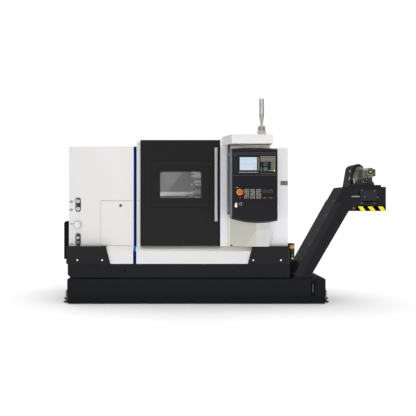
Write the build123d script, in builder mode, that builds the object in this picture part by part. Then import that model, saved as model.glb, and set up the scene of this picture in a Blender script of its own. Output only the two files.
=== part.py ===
from build123d import *
import math
import os

os.makedirs("parts", exist_ok=True)

# CNC turning lathe with a chip conveyor at its right end.
# Millimetres. X runs to the operator's right, Y to the back, Z up.
# The origin is on the floor under the middle of the whole machine.

# Base tank and feet
tank_length = 2700
tank_depth = 1500
tank_height = 258
tank_clearance = 5
pad_radius = 29
pad_thickness = 14
foot_screw_radius = 9
foot_screw_height = 130
foot_offset = 30
foot_inset = 120
bracket_thickness = 12
bracket_height = 40

# How far the machine reaches past its tank
side_box_reach = 111
conveyor_reach = 640
panel_reach = 185
estop_height = 30
rear_reach = 85

# Enclosure
sheet = 3
seam = 3
skirt_height = 146
skirt_gap = 9
skirt_setback = 25
apron_height = 131
apron_setback = 20
ledge_rise = 51
ledge_depth = 80
left_cover_height = 1055
stripe_width = 28
stripe_thickness = 1.5
post_width = 46
door_width = 838
door_overtop = 9
door_thickness = 50
door_clearance = 5
door_floor_gap = 3
right_post_width = 70
right_cover_width = 650
cover_step_down = 15
conveyor_gap = 40.2
frame_depth = 60
header_height = 55
hood_height = 94
hood_front_reach = 212
cover_depth = 1300

# Spindle, slanted bed and slides
# The slides' places are measured from the tank's left end
slant = 45
axis_height = 1000
axis_setback = 560
axis_over_bed = 380
spindle_bore = 26
journal_radius = 62
chuck_radius = 105
chuck_thickness = 91
jaw_width = 34
jaw_stroke = 5
rail_width = 35
rail_height = 38
turret_radius = 180
turret_thickness = 85
turret_stations = 12
tool_reach = 45
turret_offset = 330
bed_start = 150
bed_end_gap = 75
headstock_start = 250
headstock_length = 390
carriage_start = 1290
carriage_length = 330
tail_rail_start = 1560
tailstock_start = 1760
liner_end = 1985
run_gap = 0.3
shaft_gap = 0.05

# Chip conveyor
conveyor_angle = 60.7
conveyor_width = 430
conveyor_thickness = 151
conveyor_setback = 30
conveyor_head_length = 440
conveyor_head_height = 254
conveyor_top = 1225
plate = 4

# Work out the planes that the pieces share
overall_length = side_box_reach + tank_length + conveyor_reach
overall_depth = panel_reach + estop_height + tank_depth + rear_reach
tank_x0 = -overall_length / 2 + side_box_reach
tank_x1 = tank_x0 + tank_length
tank_y0 = -overall_depth / 2 + panel_reach + estop_height
tank_y1 = tank_y0 + tank_depth
tank_top = tank_clearance + tank_height

skirt_z0 = tank_top + skirt_gap
apron_z0 = skirt_z0 + skirt_height
apron_z1 = apron_z0 + apron_height
ledge_z = apron_z1 + ledge_rise
apron_y = tank_y0 + apron_setback
cover_y = apron_y + ledge_depth
cover_back = cover_y + cover_depth

# The conveyor's slope and head, which the covers, the skirt and the tank's channel follow
slope = math.tan(math.radians(conveyor_angle))
slope_run = conveyor_thickness / math.sin(math.radians(conveyor_angle))
head_x1 = tank_x1 + conveyor_reach
head_x0 = head_x1 - conveyor_head_length
head_bottom = conveyor_top - conveyor_head_height
conveyor_y0 = tank_y0 + conveyor_setback
conveyor_y1 = conveyor_y0 + conveyor_width


def upper_x(z):
    """X of the conveyor's upper face at height z."""
    return head_x0 - (conveyor_top - z) / slope


def lower_x(z):
    """X of the conveyor's lower face at height z."""
    return upper_x(z) + slope_run


# From the conveyor to the left: right cover, post, door, post and stripe; the left cover takes the rest
right_cover_x1 = upper_x(skirt_z0) - conveyor_gap
right_cover_x0 = right_cover_x1 - right_cover_width
right_post_x1 = right_cover_x0 - seam
right_post_x0 = right_post_x1 - right_post_width
door_x1 = right_post_x0 - seam
door_x0 = door_x1 - door_width
post_x0 = door_x0 - post_width
stripe_x0 = post_x0 - stripe_width
cover_x0 = tank_x0
left_cover_top = ledge_z + left_cover_height
right_cover_top = left_cover_top - cover_step_down
header_top = left_cover_top + header_height

door_z0 = ledge_z + door_floor_gap
door_z1 = header_top + door_overtop
door_back = cover_y - door_clearance
door_face = door_back - door_thickness
panel_face = tank_y0 - panel_reach


def rect(x0, x1, y0, y1, mode=Mode.ADD):
    """A rectangle between two corners of the sketch in hand."""
    with Locations(((x0 + x1) / 2, (y0 + y1) / 2)):
        Rectangle(x1 - x0, y1 - y0, mode=mode)


def front_plane(y):
    """A plane whose normal looks at the operator, at depth y."""
    return Plane.XZ.offset(-y)


def save(name, part):
    """Label one finished piece and write it."""
    part.label = name
    export_step(part, "parts/" + name + ".step")


# Base tank: a long low casing, drawn in along its foot, with a channel for the conveyor
# and a recess with its pull bar
channel_x0 = tank_x0 + 640
channel_wall = 30
channel_floor = 55
recess_width = 44
recess_height = 158
recess_depth = 22
recess_x = tank_x1 - 132
foot_band_height = 77
foot_band_inset = 4
recess_z = tank_clearance + 160
pull_bar = 10
pull_bar_length = 120
with BuildPart() as coolant_tank:
    with BuildSketch(Plane.XY.offset(tank_clearance)):
        rect(tank_x0, tank_x1, tank_y0, tank_y1)
    extrude(amount=tank_height)
    chamfer(coolant_tank.edges().group_by(Axis.Z)[-1], 6)
    with BuildSketch(Plane.XY.offset(tank_clearance)):
        rect(tank_x0, tank_x1, tank_y0, tank_y1)
        rect(tank_x0 + foot_band_inset, tank_x1 - foot_band_inset,
             tank_y0 + foot_band_inset, tank_y1 - foot_band_inset, mode=Mode.SUBTRACT)
    extrude(amount=foot_band_height, mode=Mode.SUBTRACT)
    with BuildSketch(Plane.XY.offset(channel_floor)):
        rect(channel_x0, tank_x1 - channel_wall, conveyor_y0 - seam, conveyor_y1 + seam)
    extrude(amount=tank_top, mode=Mode.SUBTRACT)
    with BuildSketch(front_plane(tank_y0)):
        with Locations((recess_x, recess_z)):
            Rectangle(recess_width, recess_height)
            Rectangle(pull_bar, pull_bar_length, mode=Mode.SUBTRACT)
    extrude(amount=-recess_depth, mode=Mode.SUBTRACT)
save("coolant_tank", coolant_tank.part)

# Levelling feet: a gusseted bracket on the tank's end, with its screw, nut and round pad
foot_walls = (tank_x0 + foot_band_inset, tank_x1 - foot_band_inset)
foot_xs = (tank_x0 - foot_offset, tank_x1 + foot_offset)
foot_ys = (tank_y0 + foot_inset, tank_y1 - foot_inset)
foot_spots = [(x, y) for x in foot_xs for y in foot_ys]
bracket_z = 42
bracket_width = 70
bracket_overhang = 18
nut_radius = 15
nut_height = 14
with BuildPart() as leveling_feet:
    for wall_x, x in zip(foot_walls, foot_xs):
        outer_x = x + math.copysign(bracket_overhang, x - wall_x)
        near_x, far_x = sorted((wall_x, outer_x))
        with BuildSketch(Plane.XY.offset(bracket_z)):
            for y in foot_ys:
                rect(near_x, far_x, y - bracket_width / 2, y + bracket_width / 2)
        extrude(amount=bracket_thickness)
        for y in foot_ys:
            for gusset_y in (y + bracket_width / 2, y - bracket_width / 2 + bracket_thickness):
                with BuildSketch(front_plane(gusset_y)):
                    with BuildLine():
                        Polyline((wall_x, bracket_z), (outer_x, bracket_z),
                                 (outer_x, bracket_z + bracket_thickness),
                                 (wall_x, bracket_z + bracket_height), close=True)
                    make_face()
                extrude(amount=bracket_thickness)
    with BuildSketch():
        with Locations(*foot_spots):
            Circle(pad_radius)
    extrude(amount=pad_thickness)
    with BuildSketch(Plane.XY.offset(pad_thickness)):
        with Locations(*foot_spots):
            Circle(foot_screw_radius)
    extrude(amount=foot_screw_height - pad_thickness)
    with BuildSketch(Plane.XY.offset(bracket_z - nut_height)):
        with Locations(*foot_spots):
            RegularPolygon(nut_radius, 6)
    extrude(amount=nut_height)
save("leveling_feet", leveling_feet.part)

# Skirt: the dark folded cover round the foot of the bed, notched at its lower left
skirt_x0 = tank_x0
skirt_x1 = upper_x(skirt_z0) - 30
skirt_y0 = tank_y0 + skirt_setback
skirt_notch = 32
boss_hole = 13
boss_pitch = 572
boss_x = skirt_x0 + 597
with BuildPart() as bed_skirt:
    with BuildSketch(Plane.XY.offset(skirt_z0)):
        rect(skirt_x0, skirt_x1, skirt_y0, cover_back)
    extrude(amount=skirt_height)
    with BuildSketch(Plane.XY.offset(skirt_z0)):
        rect(skirt_x0 + sheet, skirt_x1 - sheet, skirt_y0 + sheet, cover_back - sheet)
    extrude(amount=skirt_height, mode=Mode.SUBTRACT)
    with BuildSketch(front_plane(cover_back)):
        with BuildLine():
            Polyline((skirt_x0, skirt_z0), (skirt_x0 + skirt_notch, skirt_z0),
                     (skirt_x0, skirt_z0 + skirt_notch), close=True)
        make_face()
    extrude(amount=cover_back - skirt_y0, mode=Mode.SUBTRACT)
    with BuildSketch(front_plane(skirt_y0 + sheet)):
        with Locations(*[(boss_x + i * boss_pitch, skirt_z0 + skirt_height / 2) for i in range(3)]):
            Circle(boss_hole)
    extrude(amount=sheet, mode=Mode.SUBTRACT)
save("bed_skirt", bed_skirt.part)

# Apron: one folded sheet with an upright band and a sloping ledge
with BuildPart() as front_apron:
    with BuildSketch(Plane.YZ.offset(cover_x0)):
        with BuildLine():
            Polyline((apron_y, apron_z0), (apron_y, apron_z1), (cover_y, ledge_z),
                     (cover_y + sheet, ledge_z), (cover_y + sheet, ledge_z - sheet),
                     (apron_y + sheet, apron_z1 - sheet / 2), (apron_y + sheet, apron_z0), close=True)
        make_face()
    extrude(amount=right_cover_x1 - cover_x0)
save("front_apron", front_apron.part)

# Corner plates: dark caps that close the ledge at both ends, cut on a slant
cap_proud = 12
cap_left_reach = 12
cap_left_top = 402
cap_slant = 48
cap_right_top = 376
cap_sheet = 4
cap_y = apron_y - cap_proud
left_cap = [(cover_x0 - cap_left_reach, apron_z0), (cover_x0 - cap_left_reach, ledge_z),
            (cover_x0 + cap_left_top, ledge_z), (cover_x0 + cap_left_top + cap_slant, apron_z0)]
right_cap = [(right_cover_x1 - 13, apron_z0), (right_cover_x1 - 13, ledge_z),
             (right_cover_x1 - 13 - cap_right_top, ledge_z),
             (right_cover_x1 - 13 - cap_right_top - cap_slant, apron_z0)]
with BuildPart() as corner_plates:
    with BuildSketch(front_plane(cover_y)):
        with BuildLine():
            Polyline(*left_cap, close=True)
        make_face()
        with BuildLine():
            Polyline(*right_cap, close=True)
        make_face()
    extrude(amount=cover_y - cap_y)
    with BuildSketch(Plane.YZ.offset(cover_x0 - cap_left_reach)):
        with BuildLine():
            Polyline((cap_y + cap_sheet, apron_z0), (cap_y + cap_sheet, ledge_z - cap_sheet),
                     (cover_y, ledge_z - cap_sheet), (cover_y, apron_z0), close=True)
        make_face()
    extrude(amount=overall_length, mode=Mode.SUBTRACT)
    with BuildSketch(Plane.YZ.offset(cover_x0 - cap_left_reach)):
        with BuildLine():
            Polyline((apron_y, apron_z0), (apron_y, apron_z1), (cover_y, ledge_z),
                     (cover_y, ledge_z - cap_sheet - 1), (apron_y + cap_sheet, apron_z0), close=True)
        make_face()
    extrude(amount=overall_length, mode=Mode.SUBTRACT)
save("corner_plates", corner_plates.part)

screw_z = apron_z0 + 40
screw_radius = 9
screw_proud = 5
screw_xs = (cover_x0 + 104, cover_x0 + 364, right_cover_x1 - 380, right_cover_x1 - 91)
with BuildPart() as corner_screws:
    with BuildSketch(front_plane(cap_y)):
        with Locations(*[(x, screw_z) for x in screw_xs]):
            Circle(screw_radius)
    extrude(amount=screw_proud)
    chamfer(corner_screws.faces().sort_by(Axis.Y)[:4].edges(), 2)
save("corner_screws", corner_screws.part)

# Left cover: front, end wall and top in one folded sheet
ports_x = cover_x0 + 101
port_high_z = 1038
port_low_z = 665
port_width = 46
port_high_length = 142
port_low_length = 130
gauge_z = 826
gauge_radius = 39
hatch_width = 375
hatch_height = 480
hatch_x1 = post_x0
hatch_x0 = hatch_x1 - hatch_width
back_flange = 30
with BuildPart() as left_cover:
    with BuildSketch(Plane.XY.offset(apron_z0)):
        rect(cover_x0, post_x0, cover_y, cover_back)
    extrude(amount=left_cover_top - apron_z0)
    with BuildSketch(Plane.XY.offset(apron_z0)):
        rect(cover_x0 + sheet, post_x0, cover_y + sheet, cover_back)
    extrude(amount=left_cover_top - apron_z0 - sheet, mode=Mode.SUBTRACT)
    with BuildSketch(Plane.XY.offset(apron_z0)):
        rect(cover_x0, post_x0, cover_y, cover_y + sheet * 2)
    extrude(amount=ledge_z - apron_z0, mode=Mode.SUBTRACT)
    with BuildSketch(front_plane(cover_y + sheet)):
        rect(hatch_x0, hatch_x1, ledge_z, ledge_z + hatch_height)
    extrude(amount=sheet, mode=Mode.SUBTRACT)
    with BuildSketch(Plane.XY.offset(left_cover_top - back_flange)):
        rect(cover_x0, post_x0, cover_back - sheet, cover_back)
    extrude(amount=back_flange)
save("left_cover", left_cover.part)

# Hatch: a lift-off plate flush with the cover, hooked behind its left edge and locked at its top
lock_offset = 208
lock_x = hatch_x0 + lock_offset
lock_drop = 51
lock_z = ledge_z + hatch_height - lock_drop
lock_radius = 14
hatch_lip = 12
with BuildPart() as access_hatch:
    with BuildSketch(front_plane(cover_y + sheet)):
        rect(hatch_x0 + seam, hatch_x1 - seam, ledge_z + seam, ledge_z + hatch_height - seam)
        with Locations((lock_x, lock_z)):
            Circle(lock_radius + shaft_gap, mode=Mode.SUBTRACT)
    extrude(amount=sheet)
    with BuildSketch(front_plane(cover_y + 2 * sheet)):
        rect(hatch_x0 - hatch_lip, hatch_x0 + seam + hatch_lip, ledge_z + seam, ledge_z + hatch_height - seam)
    extrude(amount=sheet)
save("access_hatch", access_hatch.part)

# Lock: a slotted disc in the hatch, with a tongue that catches behind the cover above
tongue_width = 16
tongue_length = lock_drop + 9
tongue_y = cover_y + sheet + run_gap
with BuildPart() as hatch_lock:
    with BuildSketch(front_plane(tongue_y)):
        with Locations((lock_x, lock_z)):
            Circle(lock_radius)
    extrude(amount=sheet + run_gap + 2)
    with BuildSketch(front_plane(cover_y + 1)):
        with Locations((lock_x, lock_z)):
            Rectangle(4, 18)
    extrude(amount=4, mode=Mode.SUBTRACT)
    with BuildSketch(front_plane(tongue_y + sheet)):
        rect(lock_x - tongue_width / 2, lock_x + tongue_width / 2,
             lock_z - tongue_width / 2, lock_z + tongue_length)
    extrude(amount=sheet)
save("hatch_lock", hatch_lock.part)

# Stripe: a thin band over the cover, the ledge and the apron
with BuildPart() as accent_stripe:
    with BuildSketch(Plane.YZ.offset(stripe_x0)):
        with BuildLine():
            Polyline((apron_y, apron_z0), (apron_y, apron_z1), (cover_y - stripe_thickness, ledge_z),
                     (cover_y, ledge_z), (cover_y, left_cover_top),
                     (cover_y - stripe_thickness, left_cover_top),
                     (cover_y - stripe_thickness, ledge_z + 1),
                     (apron_y - stripe_thickness, apron_z1 + 1), (apron_y - stripe_thickness, apron_z0),
                     close=True)
        make_face()
    extrude(amount=stripe_width)
save("accent_stripe", accent_stripe.part)

# Service ports: two dark oblong plates, each with two round fittings
fitting_radius = 17
fitting_pitch_high = 79
fitting_pitch_low = 50
port_plate_proud = 4
fitting_proud = 12
with BuildPart() as service_ports:
    with BuildSketch(front_plane(cover_y)):
        with Locations((ports_x, port_high_z)):
            SlotOverall(port_high_length, port_width, rotation=90)
        with Locations((ports_x, port_low_z)):
            SlotOverall(port_low_length, port_width, rotation=90)
    extrude(amount=port_plate_proud)
    with BuildSketch(front_plane(cover_y - port_plate_proud)):
        with Locations((ports_x - 5, port_high_z)):
            with Locations((0, fitting_pitch_high / 2), (0, -fitting_pitch_high / 2)):
                Circle(fitting_radius - 3)
        with Locations((ports_x - 5, port_low_z + 2)):
            with Locations((0, fitting_pitch_low / 2), (0, -fitting_pitch_low / 2)):
                Circle(fitting_radius - 6)
    extrude(amount=fitting_proud)
    chamfer(service_ports.faces().sort_by(Axis.Y)[:4].edges(), 3)
save("service_ports", service_ports.part)

# Pressure gauge: a round case with a bezel, a dial and a pointer
gauge_depth = 26
with BuildPart() as pressure_gauge:
    with BuildSketch(front_plane(cover_y)):
        with Locations((ports_x - 10, gauge_z)):
            Circle(gauge_radius)
    extrude(amount=gauge_depth)
    with BuildSketch(front_plane(cover_y - gauge_depth + 5)):
        with Locations((ports_x - 10, gauge_z)):
            Circle(gauge_radius - 5)
    extrude(amount=5, mode=Mode.SUBTRACT)
    with BuildSketch(front_plane(cover_y - gauge_depth + 5)):
        with Locations((ports_x - 10, gauge_z)):
            Circle(4)
            with Locations((8, 8)):
                Rectangle(26, 2.5, rotation=45)
    extrude(amount=3)
save("pressure_gauge", pressure_gauge.part)

# Side box: the dark unit on the left end wall
side_box_y0 = tank_y0 + 400
side_box_depth = 420
side_box_z0 = 435
side_box_height = 422
with BuildPart() as side_box:
    with BuildSketch(front_plane(side_box_y0 + side_box_depth)):
        rect(tank_x0 - side_box_reach, tank_x0, side_box_z0, side_box_z0 + side_box_height)
    extrude(amount=side_box_depth)
    fillet(side_box.edges().filter_by(Axis.Y).group_by(Axis.X)[0].sort_by(Axis.Z)[-1], 30)
    chamfer(side_box.faces().sort_by(Axis.X)[0].edges().filter_by(Axis.Z), 6)
save("side_box", side_box.part)

# Rear cover: a shallow pan with two fields of ventilation slots
rear_x0 = tank_x0
rear_x1 = right_cover_x1
louvre_width = 180
louvre_height = 12
with BuildPart() as rear_cover:
    with BuildSketch(Plane.XY.offset(skirt_z0)):
        rect(rear_x0, rear_x1, cover_back, tank_y1 + rear_reach)
    extrude(amount=right_cover_top - skirt_z0)
    with BuildSketch(Plane.XY.offset(skirt_z0 + sheet)):
        rect(rear_x0 + sheet, rear_x1 - sheet, cover_back, tank_y1 + rear_reach - sheet)
    extrude(amount=right_cover_top - skirt_z0 - 2 * sheet, mode=Mode.SUBTRACT)
    with BuildSketch(front_plane(tank_y1 + rear_reach)):
        for x in (rear_x0 + 400, rear_x1 - 400):
            with Locations((x, right_cover_top - 300)):
                with GridLocations(louvre_width + 30, louvre_height * 3, 2, 5):
                    SlotOverall(louvre_width, louvre_height)
    extrude(amount=sheet, mode=Mode.SUBTRACT)
save("rear_cover", rear_cover.part)

# Door portal: header, posts and the closed wall above the door opening
portal_x0 = post_x0
rail_z = left_cover_top + 28
rail_head = 22
groove_half = 18
groove_depth = 26
post_rise = 22
with BuildPart() as door_portal:
    with BuildSketch(front_plane(cover_y + frame_depth)):
        rect(portal_x0, right_post_x0, ledge_z, header_top)
    extrude(amount=frame_depth)
    with BuildSketch(front_plane(cover_y + frame_depth)):
        rect(door_x0, door_x1 - 40, ledge_z + 40, header_top - 2 * header_height)
    extrude(amount=frame_depth, mode=Mode.SUBTRACT)
    with BuildSketch(front_plane(cover_y + groove_depth)):
        rect(portal_x0, right_post_x0, rail_z - groove_half, rail_z + groove_half)
    extrude(amount=groove_depth, mode=Mode.SUBTRACT)
    with BuildSketch(Plane.XY.offset(ledge_z)):
        rect(right_post_x0, right_post_x1, door_face, cover_y + frame_depth)
    extrude(amount=header_top + post_rise - ledge_z)
save("door_portal", door_portal.part)

# Roof over the work area, between the two side covers
with BuildPart() as roof_panel:
    with BuildSketch(Plane.XY.offset(left_cover_top - sheet)):
        rect(post_x0, right_post_x1, cover_y + frame_depth, cover_back)
    extrude(amount=sheet)
    with BuildSketch(Plane.XY.offset(left_cover_top - back_flange)):
        rect(post_x0, right_post_x1, cover_back - sheet, cover_back)
    extrude(amount=back_flange)
save("roof_panel", roof_panel.part)

# Right cover: front, end wall and top in one folded sheet
with BuildPart() as right_cover:
    with BuildSketch(Plane.XY.offset(apron_z0)):
        rect(right_cover_x0, right_cover_x1, cover_y, cover_back)
    extrude(amount=right_cover_top - apron_z0)
    with BuildSketch(Plane.XY.offset(apron_z0)):
        rect(right_cover_x0, right_cover_x1 - sheet, cover_y + sheet, cover_back)
    extrude(amount=right_cover_top - apron_z0 - sheet, mode=Mode.SUBTRACT)
    with BuildSketch(Plane.XY.offset(apron_z0)):
        rect(right_cover_x0, right_cover_x1, cover_y, cover_y + sheet * 2)
    extrude(amount=ledge_z - apron_z0, mode=Mode.SUBTRACT)
save("right_cover", right_cover.part)

# Column behind the panel: slanted at its left, with a foot that leans back to the ledge
column_reach = 50
column_width = 440
column_slant = 300
column_foot_rise = 172
column_foot_y = cover_y - 95
column_x0 = right_cover_x0 - seam
column_x1 = column_x0 + column_width
column_y = tank_y0 - column_reach
column_top = left_cover_top
with BuildPart() as panel_column:
    with BuildSketch(Plane.YZ.offset(column_x0)):
        with BuildLine():
            Polyline((cover_y, ledge_z), (column_foot_y, ledge_z), (column_y, ledge_z + column_foot_rise),
                     (column_y, column_top), (cover_y, column_top), close=True)
        make_face()
    extrude(amount=column_width)
    with BuildSketch(Plane.XY.offset(ledge_z)):
        with BuildLine():
            Polyline((column_x0, cover_y), (column_x0 + column_slant, column_y),
                     (column_x0, column_y), close=True)
        make_face()
    extrude(amount=column_top - ledge_z, mode=Mode.SUBTRACT)
save("panel_column", panel_column.part)

# Hood over the panel: a shallow box open below, with a slanted left face
hood_x0 = right_post_x1 - 49
hood_front_x0 = right_post_x1 + 31
hood_x1 = column_x1 + 5
hood_y0 = tank_y0 - hood_front_reach
hood_z0 = left_cover_top
with BuildPart() as hood:
    with BuildSketch(Plane.XY.offset(hood_z0)):
        with BuildLine():
            Polyline((hood_x0, door_face - 2), (hood_front_x0, hood_y0), (hood_x1, hood_y0),
                     (hood_x1, cover_y + frame_depth), (right_post_x1, cover_y + frame_depth),
                     (right_post_x1, door_face - 2), close=True)
        make_face()
    extrude(amount=hood_height)
    offset(amount=-sheet, openings=hood.faces().sort_by(Axis.Z)[0])
save("hood", hood.part)

# Signal tower: a turned base on the hood, a waisted neck and a clear tube of lamps
tower_x = hood_x0 + 403
tower_y = tank_y0 - 40
tower_z0 = hood_z0 + hood_height
tower_mount_width = 80
tower_mount_height = 53
tower_base_radius = 36
tower_base_height = 49
tower_neck_radius = 11
tower_neck_height = 19
tower_lens_radius = 25
tower_cone_height = 97
tower_collar = 8
tower_lens_height = 178
tower_base_z = tower_z0 + tower_mount_height
tower_waist_z = tower_base_z + tower_base_height + tower_neck_height
tower_lens_z = tower_waist_z + tower_cone_height
with BuildPart() as signal_tower:
    with BuildSketch(Plane.XY.offset(tower_z0)):
        with Locations((tower_x, tower_y)):
            RectangleRounded(tower_mount_width, tower_mount_width, 6)
    extrude(amount=tower_mount_height)
    with BuildSketch(front_plane(tower_y)):
        with BuildLine():
            Polyline((tower_x, tower_base_z), (tower_x + tower_base_radius, tower_base_z),
                     (tower_x + tower_base_radius, tower_base_z + tower_base_height - 4),
                     (tower_x + tower_base_radius - 4, tower_base_z + tower_base_height),
                     (tower_x + tower_neck_radius, tower_waist_z),
                     (tower_x + tower_lens_radius, tower_lens_z - tower_collar),
                     (tower_x + tower_lens_radius, tower_lens_z),
                     (tower_x, tower_lens_z), close=True)
        make_face()
    revolve(axis=Axis((tower_x, tower_y, 0), (0, 0, 1)))
save("signal_tower", signal_tower.part)

lamp_rings = 3
lamp_gap = 3
with BuildPart() as signal_lens:
    with BuildSketch(Plane.XY.offset(tower_lens_z)):
        with Locations((tower_x, tower_y)):
            Circle(tower_lens_radius - 2)
    extrude(amount=tower_lens_height - lamp_gap)
    ring_height = (tower_lens_height + lamp_gap) / lamp_rings
    for i in range(lamp_rings):
        with BuildSketch(Plane.XY.offset(tower_lens_z + i * ring_height)):
            with Locations((tower_x, tower_y)):
                Circle(tower_lens_radius)
        extrude(amount=ring_height - lamp_gap)
    chamfer(signal_lens.edges().group_by(Axis.Z)[-1], 6)
save("signal_lens", signal_lens.part)

# Sliding door: a pressed pan with a window, hung on a rail along its back
window_x0 = door_x0 + 204
window_width = 440
window_z0 = 1104
window_height = 285
window_corner = 22
window_rim = 30
door_skin = 4
press_depth = 2
window_centre = (window_x0 + window_width / 2, window_z0 + window_height / 2)
press_centre = (door_x0 + 421, 1255)
with BuildPart() as door_panel:
    with BuildSketch(front_plane(door_back)):
        rect(door_x0, door_x1, door_z0, door_z1)
    extrude(amount=door_thickness)
    chamfer(door_panel.faces().sort_by(Axis.Y)[0].edges(), 3)
    with BuildSketch(front_plane(door_back)):
        rect(door_x0 + door_skin, door_x1 - door_skin, door_z0 + door_skin, door_z1 - door_skin)
        with Locations(window_centre):
            RectangleRounded(window_width + 2 * window_rim, window_height + 2 * window_rim,
                             window_corner, mode=Mode.SUBTRACT)
    extrude(amount=door_thickness - door_skin, mode=Mode.SUBTRACT)
    with BuildSketch(front_plane(door_back)):
        with Locations(window_centre):
            RectangleRounded(window_width, window_height, window_corner)
    extrude(amount=door_thickness, mode=Mode.SUBTRACT)
    with BuildSketch(front_plane(door_face + press_depth)):
        with Locations(press_centre):
            Rectangle(617, 496)
            Rectangle(609, 488, mode=Mode.SUBTRACT)
    extrude(amount=press_depth, mode=Mode.SUBTRACT)
save("door_panel", door_panel.part)

glass_thickness = 10
glass_set_back = 14
with BuildPart() as door_window:
    with BuildSketch(front_plane(door_face + glass_set_back + glass_thickness)):
        with Locations(window_centre):
            RectangleRounded(window_width - 0.2, window_height - 0.2, window_corner)
    extrude(amount=glass_thickness)
save("door_window", door_window.part)

# Door handle: a long upright bar on two posts
handle_inset = 44
handle_x = door_x1 - handle_inset
handle_width = 36
handle_depth = 20
handle_stand = 40
handle_z0 = 865
handle_length = 769
post_height = 46
with BuildPart() as door_handle:
    with BuildSketch(Plane.XY.offset(handle_z0)):
        with Locations((handle_x, door_face - handle_stand - handle_depth / 2)):
            SlotOverall(handle_width, handle_depth)
    extrude(amount=handle_length)
    with BuildSketch(front_plane(door_face)):
        with Locations((handle_x, handle_z0 + post_height / 2 + 8),
                       (handle_x, handle_z0 + handle_length - post_height / 2 - 8)):
            RectangleRounded(handle_width - 6, post_height, 8)
    extrude(amount=handle_stand + handle_depth / 2)
save("door_handle", door_handle.part)

# Door rail on the back of the door, and the two runner blocks on the header
rail_web = 8
rail_web_depth = 14
rail_head_depth = 10
runner_length = 60
rail_y = door_back
with BuildPart() as door_rail:
    with BuildSketch(Plane.YZ.offset(door_x0 + door_skin)):
        rect(rail_y - door_thickness + door_skin, rail_y + rail_web_depth,
             rail_z - rail_web / 2, rail_z + rail_web / 2)
        rect(rail_y + rail_web_depth, rail_y + rail_web_depth + rail_head_depth,
             rail_z - rail_head / 2, rail_z + rail_head / 2)
    extrude(amount=door_width - 2 * door_skin)
save("door_rail", door_rail.part)

runner_xs = (door_x0 + 36, door_x0 + 166)
runner_x_step = runner_xs[1] - runner_xs[0]
with BuildPart() as rail_runners:
    with BuildSketch(Plane.YZ.offset(runner_xs[0])):
        rect(cover_y, cover_y + groove_depth, rail_z - groove_half, rail_z + groove_half)
    extrude(amount=runner_length)
    with BuildSketch(Plane.YZ.offset(runner_xs[1])):
        rect(cover_y, cover_y + groove_depth, rail_z - groove_half, rail_z + groove_half)
    extrude(amount=runner_length)
    with BuildSketch(Plane.YZ.offset(runner_xs[0])):
        rect(cover_y, rail_y + rail_web_depth,
             rail_z - rail_web / 2 - run_gap, rail_z + rail_web / 2 + run_gap)
        rect(rail_y + rail_web_depth - run_gap, rail_y + rail_web_depth + rail_head_depth + run_gap,
             rail_z - rail_head / 2 - run_gap, rail_z + rail_head / 2 + run_gap)
    extrude(amount=runner_x_step + runner_length, mode=Mode.SUBTRACT)
save("rail_runners", rail_runners.part)

# Operator panel: a moulded housing, arched at its foot, that swings on a rod at its left edge
panel_x0 = right_post_x1 + 37
panel_width = 457
panel_x1 = panel_x0 + panel_width
panel_z0 = 868
panel_z1 = 1603
panel_depth = 110
panel_flare = 20
panel_band = 22
panel_left_rise = 50
panel_right_rise = 25
panel_low_x = panel_x0 + 268
panel_back = panel_face + panel_depth


def panel_outline(grow):
    """The panel's front outline, grown by one amount all round."""
    with BuildLine() as outline:
        foot = ThreePointArc((panel_x0 - grow, panel_z0 + panel_left_rise - grow),
                             (panel_low_x, panel_z0 - grow),
                             (panel_x1 + grow, panel_z0 + panel_right_rise - grow))
        crown = ThreePointArc((panel_x1 + grow, panel_z1 - 10 + grow),
                              (panel_x0 + panel_width / 2, panel_z1 + grow),
                              (panel_x0 - grow, panel_z1 - 8 + grow))
        Line(foot @ 1, crown @ 0)
        Line(crown @ 1, foot @ 0)
    make_face(outline.edges())


control_z0 = panel_z0 + 206
control_height = 138
estop_x = panel_x0 + 75
estop_z = control_z0 + 91
estop_travel = 6
estop_stem = 8
estop_head = 24
estop_head_depth = 14
estop_sunk = 4
ring_radius = 31
ring_proud = 5

lug_radius = 15
rod_radius = 8
rod_x = panel_x0 - 22
rod_y = panel_back + 17
lug_height = 26
lug_zs = (panel_z0 + 92, panel_z1 - 60)
with BuildPart() as panel_housing:
    with BuildSketch(front_plane(panel_back)):
        panel_outline(panel_flare)
    with BuildSketch(front_plane(panel_face + panel_band)):
        panel_outline(0)
    loft()
    with BuildSketch(front_plane(panel_face + panel_band)):
        panel_outline(0)
    extrude(amount=panel_band)
    for z in lug_zs:
        with BuildSketch(Plane.XY.offset(z)):
            with Locations((rod_x, rod_y)):
                Circle(lug_radius)
            rect(rod_x, rod_x + 40, panel_back - 5, rod_y)
        extrude(amount=lug_height)
    with BuildSketch(Plane.XY.offset(lug_zs[0])):
        with Locations((rod_x, rod_y)):
            Circle(rod_radius + shaft_gap)
    extrude(amount=panel_z1 - panel_z0, mode=Mode.SUBTRACT)
    with BuildSketch(front_plane(panel_face)):
        with Locations((estop_x, estop_z)):
            Circle(estop_stem + run_gap)
    extrude(amount=-estop_sunk - estop_travel - 2, mode=Mode.SUBTRACT)
save("panel_housing", panel_housing.part)

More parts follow.
